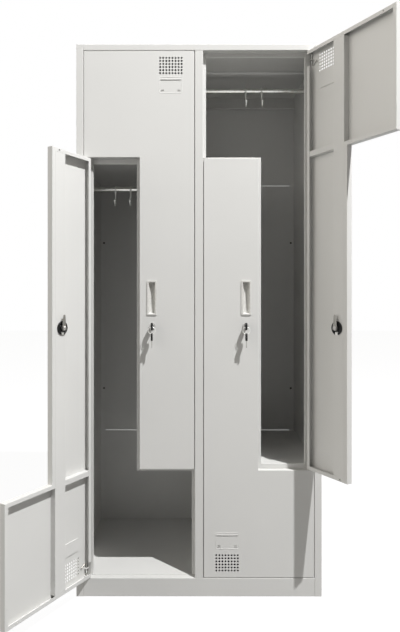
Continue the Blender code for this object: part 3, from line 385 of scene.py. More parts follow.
def powder_coat(name, slot, colour, paint):
    """Satin powder coat: orange peel, faint cloudy tone, and a painted highlight that lightens bends and edges."""
    # The edge tone is the lighter colour of the painted highlight on bends and edges
    speck_share, speck_depth, speck_tone, edge_highlight_tone = 0.35, 0.35, 0.94, 1.22
    material, shader, place = new_finish(name, slot)
    cloud = noise(material, place, paint.cloud_size, detail=3.0)
    speck = noise(material, place, paint.peel_size * speck_share, detail=1.0)
    peel = noise(material, place, paint.peel_size, roughness=0.4)
    dark, pale = scaled(colour, 1 - paint.cloud_depth), scaled(colour, 1 + paint.cloud_depth)
    tone = blend_colours(material, sharpen(material, cloud, contrast=0.2), dark, pale)
    specks = spread(material, speck, 0.0, speck_depth, start=0.55, end=0.75)
    grain = blend_colours(material, specks, tone, scaled(colour, speck_tone))
    # Painted highlight: the coat's colour is lightened along bends and edges
    edges = spread(material, edge_highlight_share(material, paint.edge_width), 0.0, paint.edge_highlight)
    highlighted_coat = blend_colours(material, edges, grain, scaled(colour, edge_highlight_tone))
    gloss = worn_gloss(material, peel, paint.roughness, less=0.05, more=0.07)
    return connect(material, shader, highlighted_coat, gloss, peel, paint.peel_depth, strength=0.6)


def plated_steel(name, slot, colour, roughness, stretch):
    """Bright zinc: drawn along one axis, with cloudy passivation."""
    cloud_size, grain_size = 0.012, 0.0006
    material, shader, place = new_finish(name, slot, metallic=1.0)
    cloud = noise(material, place, cloud_size, detail=3.0)
    drawn = noise(material, place, grain_size, roughness=0.6, stretch=stretch)
    warm = scaled((colour[0], colour[1] * 0.985, colour[2] * 0.95), 0.93)
    cool = scaled((colour[0] * 0.985, colour[1], colour[2]), 1.04)
    tone = blend_colours(material, sharpen(material, cloud), warm, cool)
    gloss = worn_gloss(material, drawn, roughness, less=0.07, more=0.1)
    return connect(material, shader, tone, gloss, drawn, distance=0.00003, strength=0.5)


def cast_metal(name, slot, colour, roughness):
    """Die-cast metal with a fine pitted skin."""
    cloud_size, pit_size, dark_tone = 0.006, 0.0009, 0.88
    material, shader, place = new_finish(name, slot, metallic=1.0)
    pits = noise(material, place, pit_size, detail=3.0, roughness=0.65)
    cloud = noise(material, place, cloud_size)
    tone = blend_colours(material, sharpen(material, cloud), scaled(colour, dark_tone), colour)
    gloss = worn_gloss(material, pits, roughness, less=0.06, more=0.12)
    return connect(material, shader, tone, gloss, pits, distance=0.00005, strength=0.5)


def moulded_plastic(name, slot, colour, roughness, grain):
    """Moulded plastic with a fine spark-eroded grain and slight wear of its gloss."""
    cloud_size, dark_tone, pale_tone = 0.008, 0.95, 1.05
    material, shader, place = new_finish(name, slot, specular=0.3)
    inputs = {"Vector": place, "Scale": 1 / grain}
    voronoi = add_node(material, "ShaderNodeTexVoronoi", inputs, feature="SMOOTH_F1")
    pebbles = voronoi.outputs["Distance"]
    cloud = noise(material, place, cloud_size, detail=3.0)
    dark, pale = scaled(colour, dark_tone), scaled(colour, pale_tone)
    tone = blend_colours(material, sharpen(material, cloud), dark, pale)
    gloss = worn_gloss(material, cloud, roughness, less=0.05, more=0.08)
    return connect(material, shader, tone, gloss, pebbles, distance=0.00004, strength=0.4)


def finish_named(name):
    """The finish of this name, made from the panel's settings the first time it is asked for."""
    found = bpy.data.materials.get(name)
    if found:
        return found
    locker = bpy.context.scene.z_locker
    paint, metal, plastic = locker.paint, locker.metal, locker.plastic
    along_x, along_z = (0.05, 1.0, 1.0), (1.0, 1.0, 0.05)
    steel = (metal.steel_roughness, along_z)
    dark = scaled(metal.steel_colour, 0.3)
    moulded = (plastic.roughness, plastic.grain)
    makers = {
        "cabinet_coat": (powder_coat, "body_paint", paint.cabinet_colour, paint),
        "door_coat": (powder_coat, "door_paint", paint.door_colour, paint),
        "rod_zinc": (plated_steel, "zinc_steel", metal.rod_colour, metal.rod_roughness, along_x),
        "wire_zinc": (plated_steel, "zinc_steel", metal.wire_colour, metal.wire_roughness, along_z),
        "stamped_steel": (plated_steel, "zinc_steel", metal.steel_colour, *steel),
        "dark_steel": (plated_steel, "zinc_steel", dark, *steel),
        "cast_zinc": (cast_metal, "zinc_steel", metal.cast_colour, metal.steel_roughness),
        "black_moulding": (moulded_plastic, "black_plastic", plastic.black, *moulded),
        "grey_moulding": (moulded_plastic, "grey_plastic", plastic.grey, *moulded),
    }
    maker, slot, colour, *rest = makers[name]
    return maker(name, slot, tuple(colour), *rest)


# Where the doors are


class DoorPlace:
    """A door's own places: u from the hinge edge, v inwards from its face, w from its wide end."""

    def __init__(self, name, side, up, turn):
        pivot = Vector(JOINTS[f"{name}_door_hinge"]["pos_m"])
        lock = Vector(JOINTS[f"{name}_lock_turn"]["pos_m"])
        low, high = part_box(f"{name}_door_skin")
        cup_low, cup_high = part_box(f"{name}_handle_cup")
        cup_past_lock = 0.0015
        self.name, self.side, self.up = name, side, up
        self.matrix = Matrix.Translation((pivot.x, pivot.y, 0)) @ Matrix.Rotation(turn, 4, "Z")
        self.wide_z = low.z if up > 0 else high.z
        self.height = high.z - low.z
        self.wide_height = WIDE_HEIGHTS[up]
        self.lock_u, self.lock_w = self.u_of(lock), self.w_of(lock.z)
        self.cup_w = self.w_of((cup_low.z + cup_high.z) / 2)
        if turn == 0:
            self.cup_u = self.u_of((cup_low + cup_high) / 2)
        else:
            self.cup_u = self.lock_u + cup_past_lock
        self.lock_matrix = self.matrix @ Matrix.Translation(
            (side * (self.lock_u - PIVOT_U), -PIVOT_V, lock.z)
        )

    def u_of(self, point):
        return PIVOT_U + self.side * (self.matrix.inverted() @ point).x

    def w_of(self, z):
        return self.up * (z - self.wide_z)

    def place(self, u, v, w):
        return self.side * (u - PIVOT_U), v - PIVOT_V, self.wide_z + self.up * w

    def place_on_lock(self, u, v, z):
        return self.side * u, v, z

    def outline(self, inset):
        """The L of the door, with every edge moved in by the inset."""
        return [
            (inset, inset),
            (DOOR_WIDTH - inset, inset),
            (DOOR_WIDTH - inset, self.wide_height - inset),
            (STRIP_WIDTH - inset, self.wide_height - inset),
            (STRIP_WIDTH - inset, self.height - inset),
            (inset, self.height - inset),
        ]

    def make(self, label, solids):
        """A piece that is drawn in the door's own places."""
        return make_object(f"{self.name}_{label}", solids, self.place)

    def make_on_lock(self, label, solids):
        """A piece that is drawn round the lock's axis."""
        return make_object(f"{self.name}_{label}", solids, self.place_on_lock)

    def fit(self, obj, finish, stands_for=(), part="door", smooth=SMOOTH_ANGLE):
        """Finishes a piece and hands it to the door, or to another part that rides on it."""
        finish_piece(obj, finish, f"{self.name}_{part}", self.matrix, stands_for, smooth)

    def fit_on_lock(self, obj, finish, part, stands_for=()):
        """Finishes a piece drawn round the lock and hands it to door, lock or spare key."""
        finish_piece(obj, finish, f"{self.name}_{part}", self.lock_matrix, stands_for)


DOORS = [
    DoorPlace("upper_left", -1, -1, 0.0),
    DoorPlace("lower_left", 1, 1, math.radians(-120)),
    DoorPlace("upper_right", -1, -1, math.radians(120)),
    DoorPlace("lower_right", 1, 1, 0.0),
]


# Settings in the panel


def colour_setting(name, description, default):
    return FloatVectorProperty(
        name=name, description=description, subtype="COLOR", min=0.0, max=1.0, default=default
    )


def share_setting(name, description, default, high=1.0):
    return FloatProperty(
        name=name, description=description, subtype="FACTOR", min=0.0, max=high, default=default
    )


def length_setting(name, description, default, **limits):
    return FloatProperty(
        name=name, description=description, unit="LENGTH", precision=6, default=default, **limits
    )


def place_setting(name, description, default):
    return FloatVectorProperty(
        name=name, description=description, subtype="TRANSLATION", unit="LENGTH", default=default
    )


def number_setting(name, description, default, low, high):
    return FloatProperty(name=name, description=description, min=low, max=high, default=default)


def count_setting(name, description, default, low, high):
    return IntProperty(name=name, description=description, min=low, max=high, default=default)


class PaintSettings(bpy.types.PropertyGroup):
    """Powder coat of the cabinet and the doors"""

    cabinet_colour: colour_setting(
        "Cabinet colour", "Colour of the cabinet's coat", (0.70, 0.697, 0.680)
    )
    door_colour: colour_setting("Door colour", "Colour of the doors' coat", (0.715, 0.712, 0.695))
    roughness: share_setting("Roughness", "How matt the powder coat is", 0.42)
    peel_size: length_setting("Peel size", "Width of one dimple of the orange peel", 0.0016)
    peel_depth: length_setting("Peel depth", "Depth of the orange peel", 0.00003)
    cloud_size: length_setting("Cloud size", "Width of the faint cloudy changes of tone", 0.25)
    cloud_depth: share_setting("Cloud depth", "How far the tone changes", 0.015, high=0.2)
    # Width and strength of the painted highlight along bends and edges
    edge_width: length_setting("Edge width", "How far from a bend the coat looks lighter", 0.0008)
    edge_highlight: share_setting("Edge light", "How much lighter bends and edges look", 0.12)


class MetalSettings(bpy.types.PropertyGroup):
    """Rods, hooks, cams, pins and lock barrels"""

    rod_colour: colour_setting("Rod colour", "Colour of the plated rods", (0.80, 0.80, 0.77))
    rod_roughness: share_setting("Rod roughness", "How matt the rods are", 0.3)
    wire_colour: colour_setting(
        "Wire colour", "Colour of hooks, rings and springs", (0.92, 0.92, 0.90)
    )
    wire_roughness: share_setting("Wire roughness", "How matt the wire is", 0.42)
    steel_colour: colour_setting(
        "Steel colour", "Colour of cams, blades and pins", (0.42, 0.41, 0.39)
    )
    steel_roughness: share_setting("Steel roughness", "How matt stamped and cast metal is", 0.34)
    cast_colour: colour_setting(
        "Casting colour", "Colour of the lock's castings", (0.55, 0.54, 0.52)
    )
    spring_turns: count_setting("Spring turns", "Turns of the spring on each hinge pin", 9, 3, 20)


class PlasticSettings(bpy.types.PropertyGroup):
    """Pull handles, key bows and lock rims"""

    grey: colour_setting("Handle colour", "Colour of the pull handles", (0.68, 0.672, 0.645))
    black: colour_setting("Black colour", "Colour of key bows and lock rims", (0.007, 0.007, 0.007))
    roughness: share_setting("Roughness", "How matt the plastic is", 0.38)
    grain: length_setting("Grain", "Width of one pebble of the moulded grain", 0.0006)


class DoorSettings(bpy.types.PropertyGroup):
    """Pressed and punched details of the doors"""

    bend_radius: length_setting(
        "Bend radius", "Outer radius of the bends", 0.0015, min=0.0012, max=0.003
    )
    vent_radius: length_setting("Vent radius", "Radius of each vent hole", 0.0033)
    vent_pitch: length_setting("Vent pitch", "Distance from one vent hole to the next", 0.010)
    vent_sides: count_setting("Vent sides", "Sides of each round vent hole", 16, 6, 48)
    slit_length: length_setting("Card slit length", "Length of the slit for the name card", 0.064)
    slit_height: length_setting("Card slit height", "Height of the slit for the name card", 0.0036)
    lug_rise: length_setting("Lug rise", "How far the card's lugs stand out from the door", 0.0013)


class StageSettings(bpy.types.PropertyGroup):
    """Floor, light and camera"""

    floor_size: length_setting("Floor size", "Width of the floor", 30.0)
    floor_shadow: share_setting("Floor shadow", "Share of the shadow that shows on the floor", 0.12)
    floor_white: number_setting(
        "Floor white", "Brightness of the floor in the picture", 1.06, 0.0, 2.0
    )
    floor_bounce: share_setting("Floor bounce", "How light the floor is for what it lights", 0.21)
    sky_left: number_setting(
        "Soft light, left", "Strength of the light from the left", 2.4, 0.0, 4.0
    )
    sky_right: number_setting(
        "Soft light, right", "Strength of the light from the right", 0.55, 0.0, 4.0
    )
    sky_colour: colour_setting("Soft light colour", "Colour of the soft light", (1.0, 0.962, 0.895))
    sky_focus: number_setting(
        "Soft light focus", "How fast the soft light fades away", 2.0, 1.0, 8.0
    )
    key_power: FloatProperty(
        name="Key light",
        description="Power of the lamp above the locker",
        unit="POWER",
        min=0.0,
        default=438.0,
    )
    key_place: place_setting("Key place", "Where the lamp hangs", (2.18, -2.25, 5.6))
    key_size: length_setting("Key size", "Diameter of the lamp", 0.08)
    camera_place: place_setting(
        "Camera place", "Where the camera stands", (-0.0251, -1.9486, 0.9731)
    )
    camera_focal: FloatProperty(
        name="Focal length in pixels",
        description="Focal length in pixels of a picture 632 high",
        default=568.6,
    )


class LockerSettings(bpy.types.PropertyGroup):
    """All the settings of the z locker"""

    paint: PointerProperty(type=PaintSettings, name="Paint", description="Powder coat")
    metal: PointerProperty(type=MetalSettings, name="Metal", description="Plated and cast metal")
    plastic: PointerProperty(type=PlasticSettings, name="Plastic", description="Moulded plastic")
    doors: PointerProperty(type=DoorSettings, name="Doors", description="Details of the doors")
    stage: PointerProperty(type=StageSettings, name="Stage", description="Floor, light, camera")


# The pieces


class ZLOCKER_OT_paint_cabinet(bpy.types.Operator):
    """Gives every sheet of the cabinet and the door stiffeners their powder coat"""

    bl_idname = "zlocker.paint_cabinet"
    bl_label = "Paint the cabinet"

    def execute(self, context):
        for name in frame["record"]["behaviour"]["bodies"]["cabinet"]:
            if name not in RODS:
                self.coat(frame["nodes"][name], finish_named("cabinet_coat"))
        for door in DOORS:
            self.coat(frame["nodes"][f"{door.name}_door_stiffener"], finish_named("door_coat"))
        return {"FINISHED"}

    def coat(self, node, material):
        if not node.material_slots:
            node.data.materials.append(material)
        for slot in node.material_slots:
            slot.material = material


class ZLOCKER_OT_fit_rivets(bpy.types.Operator):
    """Puts a domed head on each rivet that holds the back to the side panels"""

    bl_idname = "zlocker.fit_rivets"
    bl_label = "Fit the rivets"

    def execute(self, context):
        inset, heights, flange_depth = 0.014, (0.600, 1.200), 0.0023
        radius, rise, fullness, sides, steps = 0.0043, 0.0018, 0.97, 28, 5
        crown = math.pi / 2 * fullness
        face_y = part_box("left_side_panel")[1].y - flange_depth
        dome = [(radius, face_y + SHEET / 2)]
        for k in range(steps + 1):
            angle = crown * k / steps
            dome.append((radius * math.cos(angle), face_y - rise * math.sin(angle)))
        for label, side in (("left", -1), ("right", 1)):
            x = side * (CABINET_HALF_WIDTH - inset)
            solids = [lathe(dome, sides, centre=(x, z)) for z in heights]
            obj = make_object(f"{label}_rivet_heads", solids)
            finish_piece(obj, "dark_steel", "cabinet")
        return {"FINISHED"}


class ZLOCKER_OT_fit_back_rails(bpy.types.Operator):
    """Hangs a bent rail across the back of each column and a stiffening strip under its top"""

    bl_idname = "zlocker.fit_back_rails"
    bl_label = "Fit the back rails"

    def execute(self, context):
        drop, lean, radius, steps = 0.048, 0.018, 0.0015, 5
        strip_y, strip_half, strip_depth, slant = 0.145, 0.016, 0.006, 0.004
        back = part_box("centre_divider")[1].y - 2 * SHEET - SEAT_GAP
        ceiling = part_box("top_panel")[1].z - 2 * SHEET - SEAT_GAP
        rail = [(back, ceiling), (back - lean, ceiling - drop), (back, ceiling - drop)]
        strip = [
            (strip_y - strip_half, ceiling),
            (strip_y - strip_half + slant, ceiling - strip_depth),
            (strip_y + strip_half - slant, ceiling - strip_depth),
            (strip_y + strip_half, ceiling),
        ]
        for column in ("left", "right"):
            low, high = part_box(f"{column}_upper_rod")
            for label, path in (("back_rail", rail), ("ceiling_strip", strip)):
                outline = bent_section(path, SHEET, radius, steps)
                obj = make_object(f"{column}_{label}", [plate(outline, low.x, high.x, "X")])
                finish_piece(obj, "cabinet_coat", "cabinet")
        return {"FINISHED"}


class ZLOCKER_OT_fit_rods(bpy.types.Operator):
    """Draws each hanging rod and its two flanged end sockets"""

    bl_idname = "zlocker.fit_rods"
    bl_label = "Fit the rods"

    def execute(self, context):
        flange_radius, cup_radius, flange, cup = 0.014, 0.0108, 0.0014, 0.004
        edge, sides = 0.0004, 48
        for name in RODS:
            low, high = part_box(name)
            middle = (low + high) / 2

            def along(a, depth, b):
                return depth, middle.y + a, middle.z + b

            rod = [(ROD_RADIUS, low.x + SHEET), (ROD_RADIUS, high.x - SHEET)]
            obj = make_object(f"{name}_bar", [lathe(rod, sides)], along)
            finish_piece(obj, "rod_zinc", "cabinet", stands_for=[name])
            sockets = []
            for end, way in ((low.x, 1), (high.x, -1)):
                profile = [
                    (flange_radius - edge, end),
                    (flange_radius, end + way * edge),
                    (flange_radius, end + way * (flange - edge)),
                    (flange_radius - edge, end + way * flange),
                    (cup_radius + edge, end + way * (flange + edge / 4)),
                    (cup_radius, end + way * (flange + edge)),
                    (cup_radius, end + way * (cup - edge)),
                    (cup_radius - edge, end + way * cup),
                    (ROD_RADIUS + edge / 4, end + way * cup),
                    (ROD_RADIUS + edge / 4, end),
                ]
                sockets.append(lathe(profile, sides, closed=True))
            obj = make_object(f"{name}_sockets", sockets, along)
            finish_piece(obj, "cast_zinc", "cabinet")
        return {"FINISHED"}


class ZLOCKER_OT_fit_hooks(bpy.types.Operator):
    """Bends each coat hook from round wire, with an eye over the rod and a ball at the tip"""

    bl_idname = "zlocker.fit_hooks"
    bl_label = "Fit the hooks"

    def execute(self, context):
        wire = self.wire()
        for name in HOOKS:
            low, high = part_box(name)
            rod_low, rod_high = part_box(name.rsplit("_hook", 1)[0] + "_rod")
            place = (
                (low.x + high.x) / 2,
                (rod_low.y + rod_high.y) / 2,
                (rod_low.z + rod_high.z) / 2,
            )
            obj = make_object(f"{name}_wire", [wire])
            finish_piece(obj, "wire_zinc", name, Matrix.Translation(place), [name])
        return {"FINISHED"}

    def wire(self):
        """The wire from its eye round the rod's axis to the ball at its tip."""
        radius, play, bend, drop, sides = 0.0025, 0.0005, 0.010, 0.052, 16
        ball_radius, ball_end = 0.0050, math.radians(177)
        eye_start, eye_steps, bend_steps, ball_steps = math.radians(-60), 20, 14, 11
        eye = ROD_RADIUS + play + radius
        path = arc((0, 0), eye, eye_start, math.pi, eye_steps)
        path += arc((-eye - bend, -drop), bend, 0, -math.pi, bend_steps)
        radii = [radius] * len(path)
        tip_y, tip_z = path[-1]
        ball_z = tip_z + math.sqrt(ball_radius**2 - radius**2) + radius
        ball_start = math.asin(radius / ball_radius)
        for k in range(ball_steps + 1):
            angle = ball_start + (ball_end - ball_start) * k / ball_steps
            path.append((tip_y, ball_z - ball_radius * math.cos(angle)))
            radii.append(ball_radius * math.sin(angle))
        return tube([(0, a, b) for a, b in path], radii, sides)


class ZLOCKER_OT_press_doors(bpy.types.Operator):
    """Presses each door's pan with rounded bends, round vents and its card holder"""

    bl_idname = "zlocker.press_doors"
    bl_label = "Press the doors"

    def execute(self, context):
        sizes = context.scene.z_locker.doors
        pocket_wall = 0.0005
        for door in DOORS:
            loops = [
                [(u, v, w) for u, w in door.outline(inset + BEND_EASE)]
                for inset, v in self.section(sizes.bend_radius)
            ]
            pan = door.make("door_pan", [(loops, False)])
            for operation, solids in (
                ("UNION", [self.card_frame(door, sizes)]),
                ("UNION", [self.bracket(), *self.lugs(door, sizes)]),
                ("UNION", [self.pocket(door, sizes, 0, SHEET / 2)]),
                ("DIFFERENCE", [self.pocket(door, sizes, pocket_wall, SHEET)]),
                ("DIFFERENCE", self.cuts(door, sizes)),
            ):
                combine(pan, operation, solids, door.place)
            door.fit(pan, "door_coat", [f"{door.name}_door_skin"], smooth=DOOR_SMOOTH_ANGLE)
        return {"FINISHED"}

    def section(self, radius):
        """From the face round the front bend, the return, the lip and back inside."""
        front, rear = (radius, radius), (radius, DOOR_DEPTH - radius)
        inside, steps = radius - SHEET, 5
        half, quarter = math.pi, math.pi / 2
        return [
            *arc(front, radius, -quarter, -half, steps),
            *arc(rear, radius, half, quarter, steps),
            (DOOR_LIP, DOOR_DEPTH),
            (DOOR_LIP, DOOR_DEPTH - SHEET),
            *arc(rear, inside, quarter, half, steps),
            *arc(front, inside, -half, -quarter, steps),
        ]

    def bracket(self):
        """The U of sheet that guides the spring pin."""
        near, far, width, start, ear = 0.004, 0.030, 0.0125, 0.0013, 0.0108
        radius, steps = 0.0015, 4
        front, back = SHEET / 2, SHEET / 2 + ear
        path = [(back, far), (front, far), (front, near), (back, near)]
        return plate(bent_section(path, SHEET, radius, steps), start, start + width, "X")

    def card_places(self, door):
        """The card's middle across the door, and where its slit and its foot are."""
        centre_u, half_height = 0.0765, 0.0165
        centre_w = 0.1195 if door.up > 0 else 0.112
        return centre_u, centre_w + door.up * half_height, centre_w - door.up * half_height

    def lugs(self, door, sizes):
        """A raised lip over the card's slit and two lugs that hold its foot."""
        centre_u, top, foot = self.card_places(door)
        past_slit, lug_length, flare = 0.004, 0.010, 0.9
        root, slope, brow = 0.0035, 0.0030, 0.0008
        lip_length = sizes.slit_length + past_slit
        half, rise = sizes.slit_height / 2, sizes.lug_rise
        for middle, length, edge, up in (
            (centre_u, lip_length, top, door.up),
            (centre_u - LUG_SHIFT, lug_length, foot, -door.up),
            (centre_u + LUG_SHIFT, lug_length, foot, -door.up),
        ):
            outline = [
                (SHEET / 2, edge + up * (half + root)),
                (SHEET / 2, edge + up * half),
                (-rise, edge + up * half),
                (-rise * flare, edge + up * (half + brow)),
                (0, edge + up * (half + slope)),
            ]
            yield plate(outline, middle - length / 2, middle + length / 2, "X")

    def card_frame(self, door, sizes):
        """A low bead pressed round the card's place."""
        centre_u, top, foot = self.card_places(door)
        bead, crest, corner, steps = 0.0024, 0.0005, 0.003, 4
        past_slit, past_card = 0.008, 0.016
        wide, tall = sizes.slit_length + past_slit, abs(top - foot) + past_card
        section = [
            (bead, SHEET / 2),
            (bead, 0),
            (bead * 0.7, -crest),
            (bead * 0.3, -crest),
            (0, 0),
            (0, SHEET / 2),
        ]
        middle = (centre_u, (top + foot) / 2)
        loops = []
        for out, v in section:
            outline = rounded_rectangle(wide + 2 * out, tall + 2 * out, corner + out, steps, middle)
            loops.append([(u, v, w) for u, w in outline])
        return loops, True

    def pocket(self, door, sizes, wall, start):
        """The shallow pocket behind the card's slit, or its inside."""
        centre_u, top, foot = self.card_places(door)
        play, reach, depth = 0.0015, 0.004, 0.0024
        half = sizes.slit_length / 2 + play
        across = (centre_u - half + wall, centre_u + half - wall)
        upright = (min(top, foot) - reach + wall, max(top, foot) + reach - wall)
        return block(across, upright, start, SHEET + depth - wall)

    def cuts(self, door, sizes):
        """All that is punched out of the pan."""
        through = (-OVERRUN, SHEET + OVERRUN)
        clearance, corner, steps, lock_sides = 2 * (HANDLE_WALL + SEAT_GAP), 0.0041, 5, 32
        width, height = (size + clearance for size in HANDLE_OPENING)
        cup = rounded_rectangle(width, height, corner, steps, (door.cup_u, door.cup_w))
        return [
            *self.vents(sizes, through),
            *self.card_slits(door, sizes),
            plate(cup, *through),
            bore(BARREL_RADIUS + SEAT_GAP, through, lock_sides, (door.lock_u, door.lock_w)),
            *self.pin_holes(door),
            *self.lip_cuts(door),
        ]

    def vents(self, sizes, through):
        rows, columns, centre_u, centre_w = 6, 8, 0.076, 0.0478
        for row in range(rows):
            w = centre_w + (row - (rows - 1) / 2) * sizes.vent_pitch
            for column in range(columns):
                u = centre_u + (column - (columns - 1) / 2) * sizes.vent_pitch
                yield bore(sizes.vent_radius, through, sizes.vent_sides, (u, w))

    def card_slits(self, door, sizes):
        """The slit that takes the card, and one at each lug that holds its foot."""
        card_u, top, foot = self.card_places(door)
        past_sheet, half_lug, half_height = 0.0008, 0.0045, sizes.slit_height / 2
        for middle, half, w in (
            (card_u, sizes.slit_length / 2, top),
            (card_u - LUG_SHIFT, half_lug, foot),
            (card_u + LUG_SHIFT, half_lug, foot),
        ):
            upright = (w - half_height, w + half_height)
            yield block((middle - half, middle + half), upright, -OVERRUN, SHEET + past_sheet)

    def pin_holes(self, door):
        """The spring pin's holes in the return and the bracket, and the fixed pin's hole."""
        radius, sides, past_bracket = 0.0024, 20, 0.035
        ring = circle((PIVOT_U, PIVOT_V), radius, sides)
        yield plate(ring, -OVERRUN, past_bracket, "Z")
        yield plate(ring, door.height - OVERRUN, door.height + OVERRUN, "Z")

    def lip_cuts(self, door):
        """Holes in the lips, and the gap in them for the pin's lever."""
        behind = (DOOR_DEPTH - SHEET - SEAT_GAP, DOOR_DEPTH + SEAT_GAP)
        lip, sides, side_hole, end_hole = DOOR_LIP / 2, 16, 0.002, 0.0027
        side_inset, wide_inset, strip_inset, gap_end = 0.060, 0.045, 0.030, 0.052
        for w in (side_inset, door.wide_height - side_inset):
            yield bore(side_hole, behind, sides, (DOOR_WIDTH - lip, w))
        yield block((SHEET, DOOR_LIP + SEAT_GAP), (DOOR_LIP, gap_end), *behind)
        yield bore(end_hole, behind, sides, (DOOR_WIDTH - wide_inset, lip))
        yield bore(end_hole, behind, sides, (STRIP_WIDTH - strip_inset, door.height - lip))


class ZLOCKER_OT_fit_handles(bpy.types.Operator):
    """Moulds each pull handle: a soft-edged rim round a recess for the fingers"""

    bl_idname = "zlocker.fit_handles"
    bl_label = "Fit the handles"

    def execute(self, context):
        tilt, steps = 0.0070, 6
        for door in DOORS:
            loops = []
            for width, height, corner, v, sunk in self.section():
                loops.append([
                    (door.cup_u + u, v - sunk * tilt * (0.5 - door.up * w / height), door.cup_w + w)
                    for u, w in rounded_rectangle(width, height, corner, steps)
                ])
            obj = door.make("pull_handle", [(loops, False)])
            door.fit(obj, "grey_moulding", [f"{door.name}_handle_cup"])
        return {"FINISHED"}

    def section(self):
        """Width, height, corner, depth and share of the tilt, from the back round the rim."""
        (wide, tall), wall, rim = HANDLE_OPENING, HANDLE_WALL, (0.033, 0.113)
        depth, corner, thick, soft, steps = 0.015, 0.003, 0.0021, 0.0006, 4
        slope, scoop, straight, bowed = 0.0060, 0.006, 0.85, 0.15
        front = -SEAT_GAP - thick
        shell = (wide + 2 * wall, tall + 2 * wall, corner + wall)
        section = [(*shell, depth, 0), (*shell, -SEAT_GAP, 0), (*rim, corner, -SEAT_GAP, 0)]
        turns = [math.pi / 2 * k / steps for k in range(steps + 1)]
        for t in turns:
            inset = soft * (1 - math.cos(t))
            size = (rim[0] - 2 * inset, rim[1] - 2 * inset, corner)
            section.append((*size, front + soft * (1 - math.sin(t)), 0))
        for t in turns:
            inset = soft * (1 - math.sin(t))
            size = (wide + 2 * inset, tall + 2 * inset, corner + inset)
            section.append((*size, front + soft * (1 - math.cos(t)), 0))
        for t in turns:
            sunk = t / turns[-1]
            size = (wide - 2 * slope * sunk, tall - scoop * sunk, corner)
            fall = straight * sunk + bowed * math.sin(t)
            section.append((*size, front + soft + (depth - wall - front - soft) * fall, sunk))
        return section


class ZLOCKER_OT_fit_locks(bpy.types.Operator):
    """Builds each cam lock: barrel, black cover with its stop, plug, cam and nut"""

    bl_idname = "zlocker.fit_locks"
    bl_label = "Fit the locks"

    def execute(self, context):
        for door in DOORS:
            self.barrel(door)
            self.cover(door)
            self.cam(door)
        return {"FINISHED"}

    def barrel(self, door):
        sides, edge, flat, flange, end = 56, 0.0004, 0.0092, 0.0105, 0.0272
        hole = PLUG_RADIUS + SEAT_GAP
        profile = [
            (hole, LOCK_FACE + edge),
            (hole + edge, LOCK_FACE),
            (flat, LOCK_FACE),
            (flange - edge, LOCK_FACE + 0.0003),
            (flange, LOCK_FACE + 0.0010),
            (flange, -SEAT_GAP),
            (BARREL_RADIUS, -SEAT_GAP),
            (BARREL_RADIUS, end),
            (hole, end),
        ]
        obj = door.make_on_lock("lock_barrel", [lathe(profile, sides, closed=True)])
        door.fit_on_lock(obj, "cast_zinc", "door", [f"{door.name}_lock_body"])

    def cover(self, door):
        """The black disc behind the door, dished round its neck, and the stop in its notch."""
        sides, hole, inner, outer, soft = 56, 0.0088, 0.0165, 0.0215, 0.0009
        foot, waist, brow, neck, neck_end = 0.0112, 0.0104, 0.0100, 0.0095, 0.0267
        seat, notch_end, stop_edge = DOOR_DEPTH + SEAT_GAP, 0.0245, 0.0004
        dish, back = seat + 0.0012, seat + 0.0035
        profile = [
            (hole, seat),
            (outer - 0.0004, seat),
            (outer, seat + 0.0005),
            (outer, back - soft),
            (outer - soft, back),
            (inner + soft, back),
            (inner, back - soft),
            (inner, dish),
            (foot, dish),
            (waist, dish + 0.0006),
            (brow, neck_end - 0.0005),
            (neck, neck_end),
            (hole, neck_end),
        ]
        notch = rounded_rectangle(
            width=0.012, height=0.022, corner=0.002, steps=4, shift=(0, -0.0222)
        )
        obj = door.make_on_lock("lock_cover", [lathe(profile, sides, closed=True)])
        combine(obj, "DIFFERENCE", [plate(notch, DOOR_DEPTH, notch_end)], door.place_on_lock)
        door.fit_on_lock(obj, "black_moulding", "door")
        stop = rounded_rectangle(
            width=0.010, height=0.0075, corner=0.001, steps=3, shift=(0, -0.0168)
        )
        obj = door.make_on_lock("lock_stop", [plate(stop, seat + SEAT_GAP, back - SEAT_GAP)])
        round_edges(obj, stop_edge)
        door.fit_on_lock(obj, "wire_zinc", "door")

    def cam(self, door):
        """The plug with its keyway and stud, the cam on the stud, and the nut behind it."""
        sides, face, stud = 40, 0.0051, 0.0040
        cam_start, cam_thick, nut_thick = 0.0282, 0.002, 0.0025
        nut_start = cam_start + cam_thick + SEAT_GAP
        nut_end = nut_start + nut_thick
        plug = [
            (face, PLUG_FRONT),
            (PLUG_RADIUS - 0.0001, PLUG_FRONT + 0.0003),
            (PLUG_RADIUS, PLUG_FRONT + 0.0008),
            (PLUG_RADIUS, cam_start - SEAT_GAP),
            (stud, cam_start - SEAT_GAP),
            (stud, nut_end + 0.0009),
            (stud - 0.0006, nut_end + 0.0015),
        ]
        half_width, half_height, key_depth = 0.0013, 0.0041, 0.0205
        keyway = block(
            (-half_width, half_width),
            (-half_height, half_height),
            PLUG_FRONT - SEAT_GAP,
            PLUG_FRONT + key_depth,
        )
        obj = door.make_on_lock("lock_plug", [lathe(plug, sides)])
        combine(obj, "DIFFERENCE", [keyway], door.place_on_lock)
        door.fit_on_lock(obj, "cast_zinc", "lock", [f"{door.name}_lock_cam"])
        root, tip, reach, cam_edge = 0.008, 0.0045, 0.041, 0.0003
        tongue = arc((0, 0), root, -math.pi, 0, steps=16)
        tongue += arc((0, reach - tip), tip, 0, math.pi, steps=14)
        obj = door.make_on_lock("lock_tongue", [plate(tongue, cam_start, cam_start + cam_thick)])
        round_edges(obj, cam_edge)
        door.fit_on_lock(obj, "stamped_steel", "lock")
        flat, corner, edge, nut_edge = 0.0066, 0.0075, 0.0005, 0.0002
        nut = [
            (flat, nut_start),
            (corner, nut_start + edge),
            (corner, nut_end - edge),
            (flat, nut_end),
        ]
        obj = door.make_on_lock("lock_nut", [lathe(nut, sides=6)])
        round_edges(obj, nut_edge)
        door.fit_on_lock(obj, "cast_zinc", "lock")


